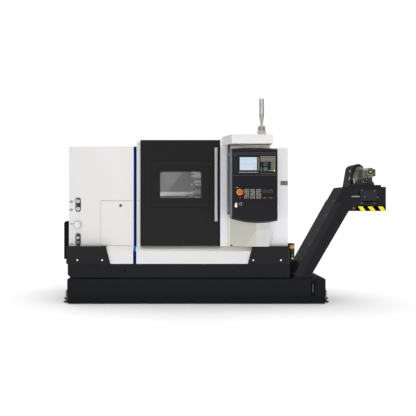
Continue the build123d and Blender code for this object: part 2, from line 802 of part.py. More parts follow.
# Hinge rod: hangs from the hood and stands on an arm out of the column
arm_z = lug_zs[0] - run_gap - 20
with BuildPart() as panel_hinge_rod:
    with BuildSketch(Plane.XY.offset(arm_z)):
        with Locations((rod_x, rod_y)):
            Circle(rod_radius)
    extrude(amount=hood_z0 + hood_height - sheet - arm_z)
    with BuildSketch(Plane.XY.offset(arm_z)):
        with BuildLine():
            Polyline((rod_x - lug_radius, rod_y), (rod_x + lug_radius, rod_y - 2), (rod_x + 95, cover_y - 75),
                     (rod_x + 40, cover_y - 20), close=True)
        make_face()
        with Locations((rod_x, rod_y)):
            Circle(lug_radius)
        with BuildLine():
            Polyline((column_x0, cover_y), (column_x0 + column_slant, column_y),
                     (column_x0 + column_slant, cover_y), close=True)
        make_face(mode=Mode.SUBTRACT)
    extrude(amount=20)
save("panel_hinge_rod", panel_hinge_rod.part)

# Display unit: a thin plate on the panel with a sunk screen
unit_inset = 7
unit_proud = 4
display_z0 = panel_z1 - 253
display_height = 204
screen_x0 = panel_x0 + 75
screen_z0 = display_z0 + 37
screen_width = 176
screen_height = 132
with BuildPart() as display_unit:
    with BuildSketch(front_plane(panel_face)):
        rect(panel_x0 + unit_inset, panel_x1 - unit_inset, display_z0, display_z0 + display_height)
    extrude(amount=unit_proud)
    with BuildSketch(front_plane(panel_face - 2)):
        rect(screen_x0, screen_x0 + screen_width, screen_z0, screen_z0 + screen_height)
    extrude(amount=unit_proud, mode=Mode.SUBTRACT)
save("display_unit", display_unit.part)

# Keys of the display unit: soft keys, a block of entry keys and a round cursor pad
key_proud = 2.5
key_plane = front_plane(panel_face - unit_proud)
pad_x = panel_x0 + 337
pad_z = display_z0 + 47
with BuildPart() as entry_keys:
    with BuildSketch(key_plane):
        with Locations((screen_x0 + screen_width / 2 + 2, screen_z0 - 21)):
            with GridLocations(22, 1, 9, 1):
                Rectangle(14, 8)
        with Locations((screen_x0 + screen_width + 17, screen_z0 + screen_height / 2)):
            with GridLocations(1, 17, 1, 8):
                Rectangle(8, 12)
        with Locations((pad_x + 24, display_z0 + 151)):
            with GridLocations(14, 14.5, 11, 4):
                Rectangle(12, 12)
        with Locations((panel_x1 - 42, display_z0 + 84)):
            with GridLocations(15, 14.5, 3, 5):
                Rectangle(12, 12)
        with Locations((pad_x, display_z0 + 98)):
            with GridLocations(22, 14, 2, 3):
                Rectangle(18, 11)
        with Locations((pad_x, pad_z)):
            Circle(21)
            Circle(8, mode=Mode.SUBTRACT)
            Circle(6)
        with Locations((pad_x - 42, pad_z)):
            with GridLocations(1, 16, 1, 3):
                Rectangle(10, 12)
    extrude(amount=key_proud)
save("entry_keys", entry_keys.part)

# Control unit: the lower plate with its blocks of membrane keys and the ring round the stop button
with BuildPart() as control_unit:
    with BuildSketch(front_plane(panel_face)):
        rect(panel_x0 + unit_inset, panel_x1 - unit_inset, control_z0, control_z0 + control_height)
    extrude(amount=unit_proud)
    with BuildSketch(key_plane):
        for x in (145, 205, 267):
            with Locations((panel_x0 + x, control_z0 + 74)):
                with GridLocations(17, 16.5, 3, 6):
                    Rectangle(13, 12.5)
        for x in (318, 334, 376, 392, 415, 81):
            with Locations((panel_x0 + x, control_z0 + 33)):
                Rectangle(12, 12)
    extrude(amount=1.5)
    with BuildSketch(key_plane):
        with Locations((estop_x, estop_z)):
            Circle(ring_radius)
    extrude(amount=ring_proud)
    with BuildSketch(key_plane):
        with Locations((estop_x, estop_z)):
            Circle(estop_stem + run_gap)
    extrude(amount=ring_proud, both=True, mode=Mode.SUBTRACT)
save("control_unit", control_unit.part)

# Emergency stop: a mushroom button that presses in over the ring
with BuildPart() as estop_button:
    with BuildSketch(front_plane(panel_face + estop_sunk)):
        with Locations((estop_x, estop_z)):
            Circle(estop_stem)
    extrude(amount=estop_height + estop_sunk - estop_head_depth)
    with BuildSketch(front_plane(panel_face - estop_height + estop_head_depth)):
        with Locations((estop_x, estop_z)):
            Circle(estop_head)
    extrude(amount=estop_head_depth)
    chamfer(estop_button.faces().sort_by(Axis.Y)[0].edges(), 5)
save("estop_button", estop_button.part)

# Two override knobs with a pointer edge, and the key switch below
knob_radius = 17
knob_height = 18
knob_z = control_z0 + 98
feed_knob_offset = 329
speed_knob_offset = 386
knob_xs = (panel_x0 + feed_knob_offset, panel_x0 + speed_knob_offset)
knob_gap = 0.3


def knob(x):
    """A fluted knob standing on the control plate."""
    with BuildPart() as turned:
        with BuildSketch(front_plane(panel_face - unit_proud - knob_gap)):
            with Locations((x, knob_z)):
                Circle(knob_radius)
                with PolarLocations(knob_radius + 1.5, 8):
                    Circle(3, mode=Mode.SUBTRACT)
        extrude(amount=knob_height * 0.6)
        with BuildSketch(front_plane(panel_face - unit_proud - knob_gap)):
            with Locations((x, knob_z)):
                Rectangle(9, 2 * knob_radius - 3)
        extrude(amount=knob_height)
    return turned.part


save("feed_knob", knob(knob_xs[0]))
save("speed_knob", knob(knob_xs[1]))

key_x = panel_x0 + 38
key_z = control_z0 - 30
with BuildPart() as key_switch:
    with BuildSketch(front_plane(panel_face - knob_gap)):
        with Locations((key_x, key_z)):
            Circle(11)
    extrude(amount=8)
    with BuildSketch(front_plane(panel_face - knob_gap - 8)):
        with Locations((key_x, key_z)):
            Rectangle(3, 16)
    extrude(amount=14)
save("key_switch", key_switch.part)

# Main switch box beside the right cover, with its rotary handle
switch_x0 = right_cover_x1
switch_width = 62
switch_y0 = tank_y0 + 60
switch_box_depth = 120
switch_z0 = 436
switch_height = 190
with BuildPart() as switch_box:
    with BuildSketch(Plane.XY.offset(switch_z0)):
        rect(switch_x0, switch_x0 + switch_width, switch_y0, switch_y0 + switch_box_depth)
    extrude(amount=switch_height)
    fillet(switch_box.edges().filter_by(Axis.Z), 8)
save("switch_box", switch_box.part)

switch_x = switch_x0 + switch_width / 2
switch_z = switch_z0 + 148
with BuildPart() as main_switch:
    with BuildSketch(front_plane(switch_y0 - knob_gap)):
        with Locations((switch_x, switch_z)):
            Circle(22)
    extrude(amount=8)
    with BuildSketch(front_plane(switch_y0 - knob_gap)):
        with Locations((switch_x, switch_z)):
            Rectangle(12, 40)
    extrude(amount=24)
save("main_switch", main_switch.part)

# Slanted planes of the bed: sketch X runs up the slant, sketch Y stands out of it
slant_sin = math.sin(math.radians(slant))
slant_cos = math.cos(math.radians(slant))
axis_y = tank_y0 + axis_setback
axis_z = axis_height
bed_y = axis_y + axis_over_bed * slant_sin
bed_z = axis_z - axis_over_bed * slant_cos


def slant_plane(x):
    """A plane across the machine at x, its sketch laid on the bed's slant."""
    return Plane(origin=(x, bed_y, bed_z), x_dir=(0, slant_cos, slant_sin), z_dir=(1, 0, 0))


def slant_point(u, n):
    """Y and Z of a point u up the slant and n out of it."""
    return bed_y + u * slant_cos - n * slant_sin, bed_z + u * slant_sin + n * slant_cos


# Bed: one casting with a 45 degree face, hollow from end to end
bed_x0 = tank_x0 + bed_start
bed_x1 = right_cover_x1 - bed_end_gap
bed_foot_y = conveyor_y1 + 30
bed_low = -330
bed_high = 560
bed_toe = 150
bed_wall = 75
bed_back = 110
low_y, low_z = slant_point(bed_low, 0)
high_y, high_z = slant_point(bed_high, 0)
with BuildPart() as bed_casting:
    with BuildSketch(Plane.YZ.offset(bed_x0)):
        with BuildLine():
            Polyline((bed_foot_y, tank_top), (bed_foot_y, tank_top + bed_toe), (low_y, low_z),
                     (high_y, high_z), (high_y + bed_back, high_z), (high_y + bed_back, tank_top), close=True)
        make_face()
        with BuildLine():
            Polyline((bed_foot_y + bed_wall, tank_top + bed_wall),
                     (bed_foot_y + bed_wall, tank_top + bed_toe),
                     (low_y + bed_wall, low_z - bed_wall / 3), (high_y, high_z - bed_wall * 1.4),
                     (high_y + bed_back - bed_wall, high_z - bed_wall * 1.4),
                     (high_y + bed_back - bed_wall, tank_top + bed_wall), close=True)
        make_face(mode=Mode.SUBTRACT)
    extrude(amount=bed_x1 - bed_x0)
save("bed_casting", bed_casting.part)

# Headstock: a block on the slant with the spindle's bore through it
headstock_x0 = tank_x0 + headstock_start
headstock_x1 = headstock_x0 + headstock_length
headstock_half = 150
headstock_flange = 50
headstock_foot = 60
headstock_cap = 125
nose_x = headstock_x1 + 50
with BuildPart() as headstock:
    with BuildSketch(slant_plane(headstock_x0)):
        with BuildLine():
            Polyline((-headstock_half - headstock_flange, 0), (headstock_half + headstock_flange, 0),
                     (headstock_half + headstock_flange, headstock_foot),
                     (headstock_half, headstock_foot + headstock_flange),
                     (headstock_half, axis_over_bed + headstock_foot),
                     (headstock_half - headstock_foot, axis_over_bed + headstock_cap),
                     (headstock_foot - headstock_half, axis_over_bed + headstock_cap),
                     (-headstock_half, axis_over_bed + headstock_foot),
                     (-headstock_half, headstock_foot + headstock_flange),
                     (-headstock_half - headstock_flange, headstock_foot), close=True)
        make_face()
    extrude(amount=headstock_x1 - headstock_x0)
    with BuildSketch(slant_plane(headstock_x0)):
        with Locations((0, axis_over_bed)):
            Circle(journal_radius + shaft_gap)
    extrude(amount=headstock_x1 - headstock_x0, mode=Mode.SUBTRACT)
save("headstock", headstock.part)


def turned(x0, steps, bore):
    """A shaft on the spindle axis, from steps of (length, radius), with a bore."""
    with BuildPart() as shaft:
        x = x0
        for length, radius in steps:
            with BuildSketch(slant_plane(x)):
                with Locations((0, axis_over_bed)):
                    Circle(radius)
            extrude(amount=length)
            x += length
        with BuildSketch(slant_plane(x0)):
            with Locations((0, axis_over_bed)):
                Circle(bore)
        extrude(amount=x - x0, mode=Mode.SUBTRACT)
    return shaft


# Spindle: a hollow shaft with a nose flange and, at its back, the belt pulley
nose_radius = 85
nose_length = 38
pulley_radius = 95
pulley_width = 42
spindle_steps = [(pulley_width, pulley_radius), (12, journal_radius - 6),
                 (nose_x - nose_length - headstock_x0 + 6, journal_radius), (nose_length, nose_radius)]
spindle_x0 = headstock_x0 - pulley_width - 18
save("spindle", turned(spindle_x0, spindle_steps, spindle_bore).part)

# Chuck: a body with three radial guideways and a stepped jaw in each
jaw_slot_depth = 24
jaw_root = 44
jaw_length = 52
jaw_steps = [(jaw_length, 22), (34, 40)]
with BuildPart() as chuck_body:
    add(turned(nose_x, [(chuck_thickness, chuck_radius)], spindle_bore).part)
    chamfer(chuck_body.faces().sort_by(Axis.X)[-1].edges().sort_by(SortBy.LENGTH)[-1], 4)
    for i in range(3):
        with BuildSketch(slant_plane(nose_x + chuck_thickness - jaw_slot_depth)):
            with Locations((0, axis_over_bed)):
                with PolarLocations(chuck_radius, 1, start_angle=90 + 120 * i):
                    Rectangle(2 * (chuck_radius - jaw_root + jaw_stroke + 8), jaw_width + 2 * run_gap)
        extrude(amount=jaw_slot_depth, mode=Mode.SUBTRACT)
save("chuck_body", chuck_body.part)

for i in range(3):
    with BuildPart() as jaw:
        with BuildSketch(slant_plane(nose_x + chuck_thickness - jaw_slot_depth + run_gap)):
            with Locations((0, axis_over_bed)):
                with PolarLocations(jaw_root + jaw_length / 2, 1, start_angle=90 + 120 * i):
                    Rectangle(jaw_length, jaw_width)
        extrude(amount=jaw_slot_depth + jaw_steps[0][1])
        with BuildSketch(slant_plane(nose_x + chuck_thickness)):
            with Locations((0, axis_over_bed)):
                with PolarLocations(jaw_root + jaw_length - jaw_steps[1][0] / 2, 1, start_angle=90 + 120 * i):
                    Rectangle(jaw_steps[1][0], jaw_width)
        extrude(amount=jaw_steps[1][1])
    save("jaw_" + str(i + 1), jaw.part)

# Guide rails on the slant: two for the carriage, two short ones for the tailstock,
# with the two bearing blocks of the feed screw
rail_low = 20
rail_high = 420
tail_rail_low = -280
tail_rail_high = -150
rail_us = (rail_low, rail_high)
tail_rail_us = (tail_rail_low, tail_rail_high)
tail_rail_height = 20
tail_rail_width = 26
liner_x0 = headstock_x1 + 5
liner_x1 = tank_x0 + liner_end
rail_x0 = liner_x0 + sheet + 2
rail_x1 = liner_x1 - 5
tail_rail_x0 = tank_x0 + tail_rail_start
feed_screw_u = 220
feed_screw_n = 40
feed_screw_radius = 16
bearing_length = 30
bearing_width = 64
bearing_height = 57
with BuildPart() as guide_rails:
    with BuildSketch(slant_plane(rail_x0)):
        for u in rail_us:
            rect(u - rail_width / 2, u + rail_width / 2, 0, rail_height)
    extrude(amount=rail_x1 - rail_x0)
    with BuildSketch(slant_plane(tail_rail_x0)):
        for u in tail_rail_us:
            rect(u - tail_rail_width / 2, u + tail_rail_width / 2, 0, tail_rail_height)
    extrude(amount=rail_x1 - tail_rail_x0)
    for x in (rail_x0, rail_x1 - bearing_length):
        with BuildSketch(slant_plane(x)):
            rect(feed_screw_u - bearing_width / 2, feed_screw_u + bearing_width / 2, 0, bearing_height)
            with Locations((feed_screw_u, feed_screw_n)):
                Circle(feed_screw_radius + shaft_gap, mode=Mode.SUBTRACT)
        extrude(amount=bearing_length)
save("guide_rails", guide_rails.part)

with BuildPart() as feed_screw:
    with BuildSketch(slant_plane(rail_x0)):
        with Locations((feed_screw_u, feed_screw_n)):
            Circle(feed_screw_radius)
    extrude(amount=rail_x1 - rail_x0)
save("feed_screw", feed_screw.part)

# Way covers: plates that telescope over each other on both sides of the carriage
cover_step = 5
cover_plate = 2
cover_u0 = -74
cover_u1 = 504
cover_n = 58
carriage_x0 = tank_x0 + carriage_start
carriage_x1 = carriage_x0 + carriage_length
near_left = 210
near_right = 270
mid_left_near = 190
mid_left_far = 430
mid_right_near = 40
mid_right_far = 315
fixed_left_gap = 410
fixed_right_gap = 90
mid_left = (carriage_x0 - mid_left_far, carriage_x0 - mid_left_near)
mid_right = (carriage_x1 + mid_right_near, carriage_x1 + mid_right_far)
fixed_left = (liner_x0 + sheet, carriage_x0 - fixed_left_gap)
fixed_right = (carriage_x1 + fixed_right_gap, liner_x1)


def way_cover(level):
    """The section of one folded cover, level steps above the lowest one."""
    grow = cover_step * level
    rect(cover_u0 - grow, cover_u1 + grow, run_gap, cover_n + cover_plate + grow)
    with Locations(((cover_u0 + cover_u1) / 2, (cover_n + grow) / 2)):
        Rectangle(cover_u1 - cover_u0 + 2 * (grow - cover_plate), cover_n + grow, mode=Mode.SUBTRACT)


# Carriage: it rides on both rails, carries the lowest pair of way covers and two cross ways
carriage_u0 = -60
carriage_u1 = 500
carriage_n = 120
cross_way_height = 15
cross_way_first = 180
cross_way_second = 275
cross_ways = (carriage_x0 + cross_way_first, carriage_x0 + cross_way_second)
cross_way_width = 30
with BuildPart() as carriage:
    with BuildSketch(slant_plane(carriage_x0)):
        rect(carriage_u0, carriage_u1, 6, carriage_n)
        for u in rail_us:
            rect_gap = rail_width / 2 + run_gap
            with Locations((u, (6 + rail_height + run_gap) / 2)):
                Rectangle(2 * rect_gap, rail_height + run_gap - 6, mode=Mode.SUBTRACT)
        with Locations((feed_screw_u, feed_screw_n)):
            Circle(feed_screw_radius + shaft_gap, mode=Mode.SUBTRACT)
    extrude(amount=carriage_x1 - carriage_x0)
    for x in cross_ways:
        with BuildSketch(slant_plane(x)):
            rect(40, carriage_u1, carriage_n, carriage_n + cross_way_height)
        extrude(amount=cross_way_width)
    for x0, x1 in ((carriage_x0 - near_left, carriage_x0), (carriage_x1, carriage_x1 + near_right)):
        with BuildSketch(slant_plane(x0)):
            way_cover(0)
        extrude(amount=x1 - x0)
save("carriage", carriage.part)

with BuildPart() as way_cover_mid:
    for x0, x1 in (mid_left, mid_right):
        with BuildSketch(slant_plane(x0)):
            way_cover(1)
        extrude(amount=x1 - x0)
save("way_cover_mid", way_cover_mid.part)

# Cross slide: a plate on the cross ways that carries the turret's housing and drive
turret_u = turret_offset
turret_n = axis_over_bed
housing_x0 = carriage_x0 + 150
housing_length = 200
housing_radius = 105
turret_drive_radius = 70
turret_drive_length = 80
turret_shaft_radius = 60
turret_shaft_length = 12
slide_x0 = carriage_x0 + 155
slide_x1 = carriage_x1
slide_u0 = 172
slide_u1 = 490
slide_n = 200
with BuildPart() as cross_slide:
    with BuildSketch(slant_plane(slide_x0)):
        rect(slide_u0, slide_u1, carriage_n + run_gap, slide_n)
    extrude(amount=slide_x1 - slide_x0)
    for x in cross_ways:
        with BuildSketch(slant_plane(x - run_gap)):
            rect(slide_u0, slide_u1, carriage_n, carriage_n + cross_way_height + run_gap)
        extrude(amount=cross_way_width + 2 * run_gap, mode=Mode.SUBTRACT)
    with BuildSketch(slant_plane(housing_x0)):
        with Locations((turret_u, turret_n)):
            Circle(housing_radius)
        rect(turret_u - housing_radius, turret_u + housing_radius, slide_n, turret_n)
        rect(turret_u - housing_radius - 30, turret_u + housing_radius + 30, slide_n, slide_n + 30)
    extrude(amount=housing_length)
    with BuildSketch(slant_plane(housing_x0)):
        with Locations((turret_u, turret_n)):
            Circle(turret_shaft_radius + shaft_gap)
    extrude(amount=turret_shaft_length + run_gap, mode=Mode.SUBTRACT)
    with BuildSketch(slant_plane(housing_x0 + housing_length)):
        with Locations((turret_u, turret_n)):
            Circle(turret_drive_radius)
    extrude(amount=turret_drive_length)
save("cross_slide", cross_slide.part)

# Turret disc: a twelve-sided disc with a pocket in every flat and a domed hub
turret_gap = 8
disc_x1 = housing_x0 - turret_gap
disc_x0 = disc_x1 - turret_thickness
station = 360 / turret_stations
flat_radius = turret_radius * math.cos(math.radians(station / 2))
pocket_width = 26
pocket_depth = 16
with BuildPart() as turret_disc:
    with BuildSketch(slant_plane(disc_x0)):
        with Locations((turret_u, turret_n)):
            RegularPolygon(turret_radius, turret_stations, rotation=station / 2)
    extrude(amount=turret_thickness)
    chamfer(turret_disc.faces().sort_by(Axis.X)[0].edges(), 6)
    with BuildSketch(slant_plane(disc_x0 + 18)):
        with Locations((turret_u, turret_n)):
            with PolarLocations(flat_radius, turret_stations):
                Rectangle(2 * pocket_depth, pocket_width)
    extrude(amount=turret_thickness - 36, mode=Mode.SUBTRACT)
    with BuildSketch(slant_plane(disc_x0)):
        with Locations((turret_u, turret_n)):
            Circle(70)
    extrude(amount=-14)
    chamfer(turret_disc.faces().sort_by(Axis.X)[0].edges(), 5)
    with BuildSketch(slant_plane(disc_x1)):
        with Locations((turret_u, turret_n)):
            Circle(turret_shaft_radius)
    extrude(amount=turret_gap + turret_shaft_length)
save("turret_disc", turret_disc.part)

# Tools: turning holders on every other flat, boring holders on the flats between them
holder_height = 34
holder_width = 60
shank = 22
bar_radius = 11
with BuildPart() as tool_holders:
    with BuildSketch(slant_plane(disc_x0 + 4)):
        with Locations((turret_u, turret_n)):
            with PolarLocations(flat_radius + holder_height / 2, turret_stations // 2):
                Rectangle(holder_height, holder_width)
            with PolarLocations(flat_radius + holder_height / 2, turret_stations // 2, start_angle=station):
                Rectangle(holder_height, holder_width - 12)
    extrude(amount=turret_thickness - 8)
    with BuildSketch(slant_plane(disc_x0 - 10)):
        with Locations((turret_u, turret_n)):
            with PolarLocations(flat_radius + (holder_height + tool_reach) / 2, turret_stations // 2):
                Rectangle(tool_reach - holder_height + shank, shank)
            with PolarLocations(flat_radius + holder_height / 2, turret_stations // 2, start_angle=station):
                Circle(bar_radius + 5)
    extrude(amount=turret_thickness / 2)
    with BuildSketch(slant_plane(disc_x0 - 38)):
        with Locations((turret_u, turret_n)):
            with PolarLocations(flat_radius + holder_height / 2, turret_stations // 2, start_angle=station):
                Circle(bar_radius)
    extrude(amount=28)
save("tool_holders", tool_holders.part)

# Tailstock: a body over its own rails, with a quill and centre on the spindle axis
tail_x0 = tank_x0 + tailstock_start
tail_length = 200
tail_head_radius = 72
quill_radius = 40
quill_reach = 20
quill_back = 10
centre_length = 50
with BuildPart() as tailstock:
    with BuildSketch(slant_plane(tail_x0)):
        with BuildLine():
            Polyline((-310, tail_rail_height + run_gap), (-115, tail_rail_height + run_gap), (-115, 215),
                     (50, axis_over_bed - 50), (0, axis_over_bed), (-60, axis_over_bed + 38), (-310, 150),
                     close=True)
        make_face()
        with Locations((0, axis_over_bed)):
            Circle(tail_head_radius)
            Circle(quill_radius + shaft_gap, mode=Mode.SUBTRACT)
    extrude(amount=tail_length)
    for u in tail_rail_us:
        for edge in (u - tail_rail_width / 2 - 14, u + tail_rail_width / 2 + run_gap):
            with BuildSketch(slant_plane(tail_x0)):
                rect(edge, edge + 14 - run_gap, 2, tail_rail_height + 2)
            extrude(amount=tail_length)
save("tailstock", tailstock.part)

with BuildPart() as tailstock_quill:
    with BuildSketch(slant_plane(tail_x0 - quill_reach)):
        with Locations((0, axis_over_bed)):
            Circle(quill_radius)
    extrude(amount=tail_length + quill_reach - quill_back)
    with BuildSketch(slant_plane(tail_x0 - quill_reach - 16)):
        with Locations((0, axis_over_bed)):
            Circle(26)
    extrude(amount=16)
    with BuildSketch(slant_plane(tail_x0 - quill_reach - 16)):
        with Locations((0, axis_over_bed)):
            Circle(17)
    with BuildSketch(slant_plane(tail_x0 - quill_reach - centre_length)):
        with Locations((0, axis_over_bed)):
            Circle(0.8)
    loft()
save("tailstock_quill", tailstock_quill.part)

# Liner of the work area: end walls with a back wall between them, and the fixed way covers
liner_back = cover_back - 120
liner_top = right_cover_top - sheet
liner_low = tank_top + 150
shelf_z = 1150
shelf_height = 49
shelf_depth = 133
with BuildPart() as work_liner:
    with BuildSketch(Plane.XY.offset(liner_low)):
        rect(liner_x0, liner_x1 + sheet, cover_y + frame_depth, liner_back)
    extrude(amount=liner_top - liner_low)
    with BuildSketch(Plane.XY.offset(liner_low)):
        rect(liner_x0 + sheet, liner_x1, cover_y + frame_depth, liner_back - sheet)
    extrude(amount=liner_top - liner_low, mode=Mode.SUBTRACT)
    with BuildSketch(slant_plane(liner_x0)):
        with Locations((0, axis_over_bed)):
            Circle(journal_radius + 8)
    extrude(amount=sheet, mode=Mode.SUBTRACT)
    with BuildSketch(slant_plane(liner_x0)):
        rect(bed_low - 400, bed_high + 400, -1200, 0.5)
        rect(cover_u0 - 2 * cover_step, cover_u1 + 2 * cover_step, -1, cover_n + 2 * cover_step)
    extrude(amount=liner_x1 + sheet - liner_x0, mode=Mode.SUBTRACT)
    with BuildSketch(Plane.YZ.offset(liner_x0)):
        rect(bed_foot_y - 1, low_y + 1, liner_low, low_z + 1)
    extrude(amount=liner_x1 + sheet - liner_x0, mode=Mode.SUBTRACT)
    for x0, x1 in (fixed_left, fixed_right):
        with BuildSketch(slant_plane(x0)):
            way_cover(2)
        extrude(amount=x1 - x0)
    with BuildSketch(slant_plane(liner_x0)):
        way_cover(2)
    extrude(amount=sheet)
    with BuildSketch(slant_plane(liner_x1)):
        way_cover(2)
    extrude(amount=sheet)
    with BuildSketch(Plane.YZ.offset(liner_x0)):
        rect(liner_back - shelf_depth, liner_back - 1, shelf_z, shelf_z + shelf_height)
        rect(liner_back - shelf_depth + sheet, liner_back - 1,
             shelf_z + sheet, shelf_z + shelf_height - sheet, mode=Mode.SUBTRACT)
    extrude(amount=liner_x1 + sheet - liner_x0)
save("work_liner", work_liner.part)

# Conveyor housing: a trough in the tank, a steep neck and a level head open below
trough_z0 = channel_floor
trough_z1 = tank_top - 28
trough_x0 = channel_x0 + 8
elbow_reach = 20
conveyor_side = [(trough_x0, trough_z0), (lower_x(trough_z0), trough_z0),
                 (lower_x(head_bottom) + elbow_reach, head_bottom),
                 (head_x1, head_bottom), (head_x1, conveyor_top), (head_x0, conveyor_top),
                 (upper_x(trough_z1), trough_z1), (trough_x0, trough_z1)]
discharge_x0 = head_x1 - 300
discharge_x1 = head_x1 - 30
with BuildPart() as conveyor_housing:
    with BuildSketch(front_plane(conveyor_y1)):
        with BuildLine():
            Polyline(*conveyor_side, close=True)
        make_face()
    extrude(amount=conveyor_width)
    with BuildSketch(front_plane(conveyor_y1 - plate)):
        with BuildLine():
            Polyline((trough_x0 + plate, trough_z0 + plate), (lower_x(trough_z0) - plate, trough_z0 + plate),
                     (lower_x(head_bottom) + elbow_reach - plate * 1.15, head_bottom + plate),
                     (head_x1 - plate, head_bottom + plate),
                     (head_x1 - plate, conveyor_top - plate), (head_x0 + plate, conveyor_top - plate),
                     (upper_x(trough_z1) + plate * 1.15, trough_z1 + 1), (trough_x0 + plate, trough_z1 + 1),
                     close=True)
        make_face()
    extrude(amount=conveyor_width - 2 * plate, mode=Mode.SUBTRACT)
    with BuildSketch(Plane.XY.offset(head_bottom)):
        rect(discharge_x0, discharge_x1, conveyor_y0 + 30, conveyor_y1 - 30)
    extrude(amount=plate, mode=Mode.SUBTRACT)
save("conveyor_housing", conveyor_housing.part)

# Conveyor covers: a folded lid over the neck, the access plate and slot plate on the head,
# the motor's base plate, and the lid over the tank's channel
lid_z0 = tank_top + 36
lid_z1 = conveyor_top - 138
lid_sheet = 5
lid_skirt = 60
lid_corner = 24
lid_length = (lid_z1 - lid_z0) / math.sin(math.radians(conveyor_angle))
along_neck = Plane(origin=(upper_x(lid_z0), conveyor_y1 + lid_sheet, lid_z0),
                   x_dir=(math.cos(math.radians(conveyor_angle)), 0, math.sin(math.radians(conveyor_angle))),
                   z_dir=(0, -1, 0))
access_x0 = head_x0 + 170
access_width = 173
access_z0 = head_bottom + 98
access_height = 122
slot_x0 = access_x0 - 96
slot_z0 = access_z0 + 46
slot_width = 90
slot_height = 20
plate_proud = 3
base_x0 = head_x0 + 47
base_slope = 26
base_thickness = 31
base_step = 10
base_step_x = head_x0 + 295
base_x1 = head_x1 - 44
guard_setback = 155
base_y0 = conveyor_y0 + 20
base_y1 = conveyor_y0 + guard_setback
with BuildPart() as conveyor_covers:
    with BuildSketch(along_neck):
        rect(0, lid_length, -lid_skirt, lid_sheet)
        fillet(vertices().group_by(Axis.Y)[0], lid_corner)
    extrude(amount=conveyor_width + 2 * lid_sheet)
    with BuildSketch(along_neck.offset(lid_sheet)):
        rect(-1, lid_length + 1, -lid_skirt - 1, 0)
    extrude(amount=conveyor_width, mode=Mode.SUBTRACT)
    with BuildSketch(front_plane(conveyor_y0)):
        rect(access_x0, access_x0 + access_width, access_z0, access_z0 + access_height)
        rect(slot_x0, slot_x0 + slot_width, slot_z0, slot_z0 + slot_height)
    extrude(amount=plate_proud)
    with BuildSketch(front_plane(base_y1)):
        with BuildLine():
            Polyline((base_x0, conveyor_top), (base_x0 + base_slope, conveyor_top + base_thickness),
                     (base_step_x, conveyor_top + base_thickness),
                     (base_step_x, conveyor_top + base_thickness - base_step),
                     (base_x1, conveyor_top + base_thickness - base_step),
                     (base_x1, conveyor_top), close=True)
        make_face()
    extrude(amount=base_y1 - base_y0)
    with BuildSketch(Plane.XY.offset(tank_top)):
        rect(lower_x(tank_top) + elbow_reach / 2, tank_x1 - 12, conveyor_y0 - 14, conveyor_y1 + 40)
    extrude(amount=lid_sheet)
save("conveyor_covers", conveyor_covers.part)

# Hinge belt: an endless belt of plates with round knuckles and pusher bars
belt_radius = 44
belt_plate = 4
belt_pitch = 80
knuckle_radius = 6
belt_clear = 14
pusher_height = 26
neck_axis_x = (upper_x(tank_top) + lower_x(tank_top)) / 2
trough_axis_z = (trough_z0 + plate + trough_z1) / 2 + 4
head_axis_z = (head_bottom + conveyor_top) / 2 - 2
tail_axis_x = trough_x0 + plate + belt_radius + belt_clear + pusher_height
head_shaft_x = head_x1 - belt_radius - belt_clear - pusher_height - 12


def neck_x(z):
    """X of the neck's middle line at height z."""
    return neck_axis_x + (z - tank_top) / slope


belt_points = [(tail_axis_x, trough_axis_z), (neck_x(trough_axis_z), trough_axis_z),
               (neck_x(head_axis_z), head_axis_z), (head_shaft_x, head_axis_z)]
belt_runs = list(zip(belt_points[:-1], belt_points[1:]))
with BuildPart() as hinge_belt:
    with BuildSketch(front_plane(conveyor_y1 - belt_clear)):
        for (xa, za), (xb, zb) in belt_runs:
            run = math.hypot(xb - xa, zb - za)
            turn = math.degrees(math.atan2(zb - za, xb - xa))
            with Locations(((xa + xb) / 2, (za + zb) / 2)):
                SlotCenterToCenter(run, 2 * belt_radius, rotation=turn)
                with Locations(Location((0, 0, 0), (0, 0, turn))):
                    with GridLocations(belt_pitch, 2 * belt_radius, max(1, round(run / belt_pitch) - 1), 2):
                        Circle(knuckle_radius)
        for (xa, za), (xb, zb) in belt_runs:
            run = math.hypot(xb - xa, zb - za)
            turn = math.degrees(math.atan2(zb - za, xb - xa))
            with Locations(((xa + xb) / 2, (za + zb) / 2)):
                SlotCenterToCenter(run, 2 * (belt_radius - belt_plate), rotation=turn, mode=Mode.SUBTRACT)
    extrude(amount=conveyor_width - 2 * belt_clear)
save("hinge_belt", hinge_belt.part)

# Head shaft: it runs through both side plates and carries two sprockets inside the belt
head_shaft_radius = 20
sprocket_radius = belt_radius - belt_plate - run_gap
sprocket_width = 14
with BuildPart() as conveyor_shaft:
    with BuildSketch(front_plane(conveyor_y1 - plate - run_gap)):
        with Locations((head_shaft_x, head_axis_z)):
            Circle(head_shaft_radius)
    extrude(amount=conveyor_width - 2 * plate - 2 * run_gap)
    for y in (conveyor_y0 + 60, conveyor_y1 - 60):
        with BuildSketch(front_plane(y)):
            with Locations((head_shaft_x, head_axis_z)):
                Circle(sprocket_radius)
                with PolarLocations(sprocket_radius, 8):
                    Circle(6, mode=Mode.SUBTRACT)
        extrude(amount=sprocket_width)
save("conveyor_shaft", conveyor_shaft.part)

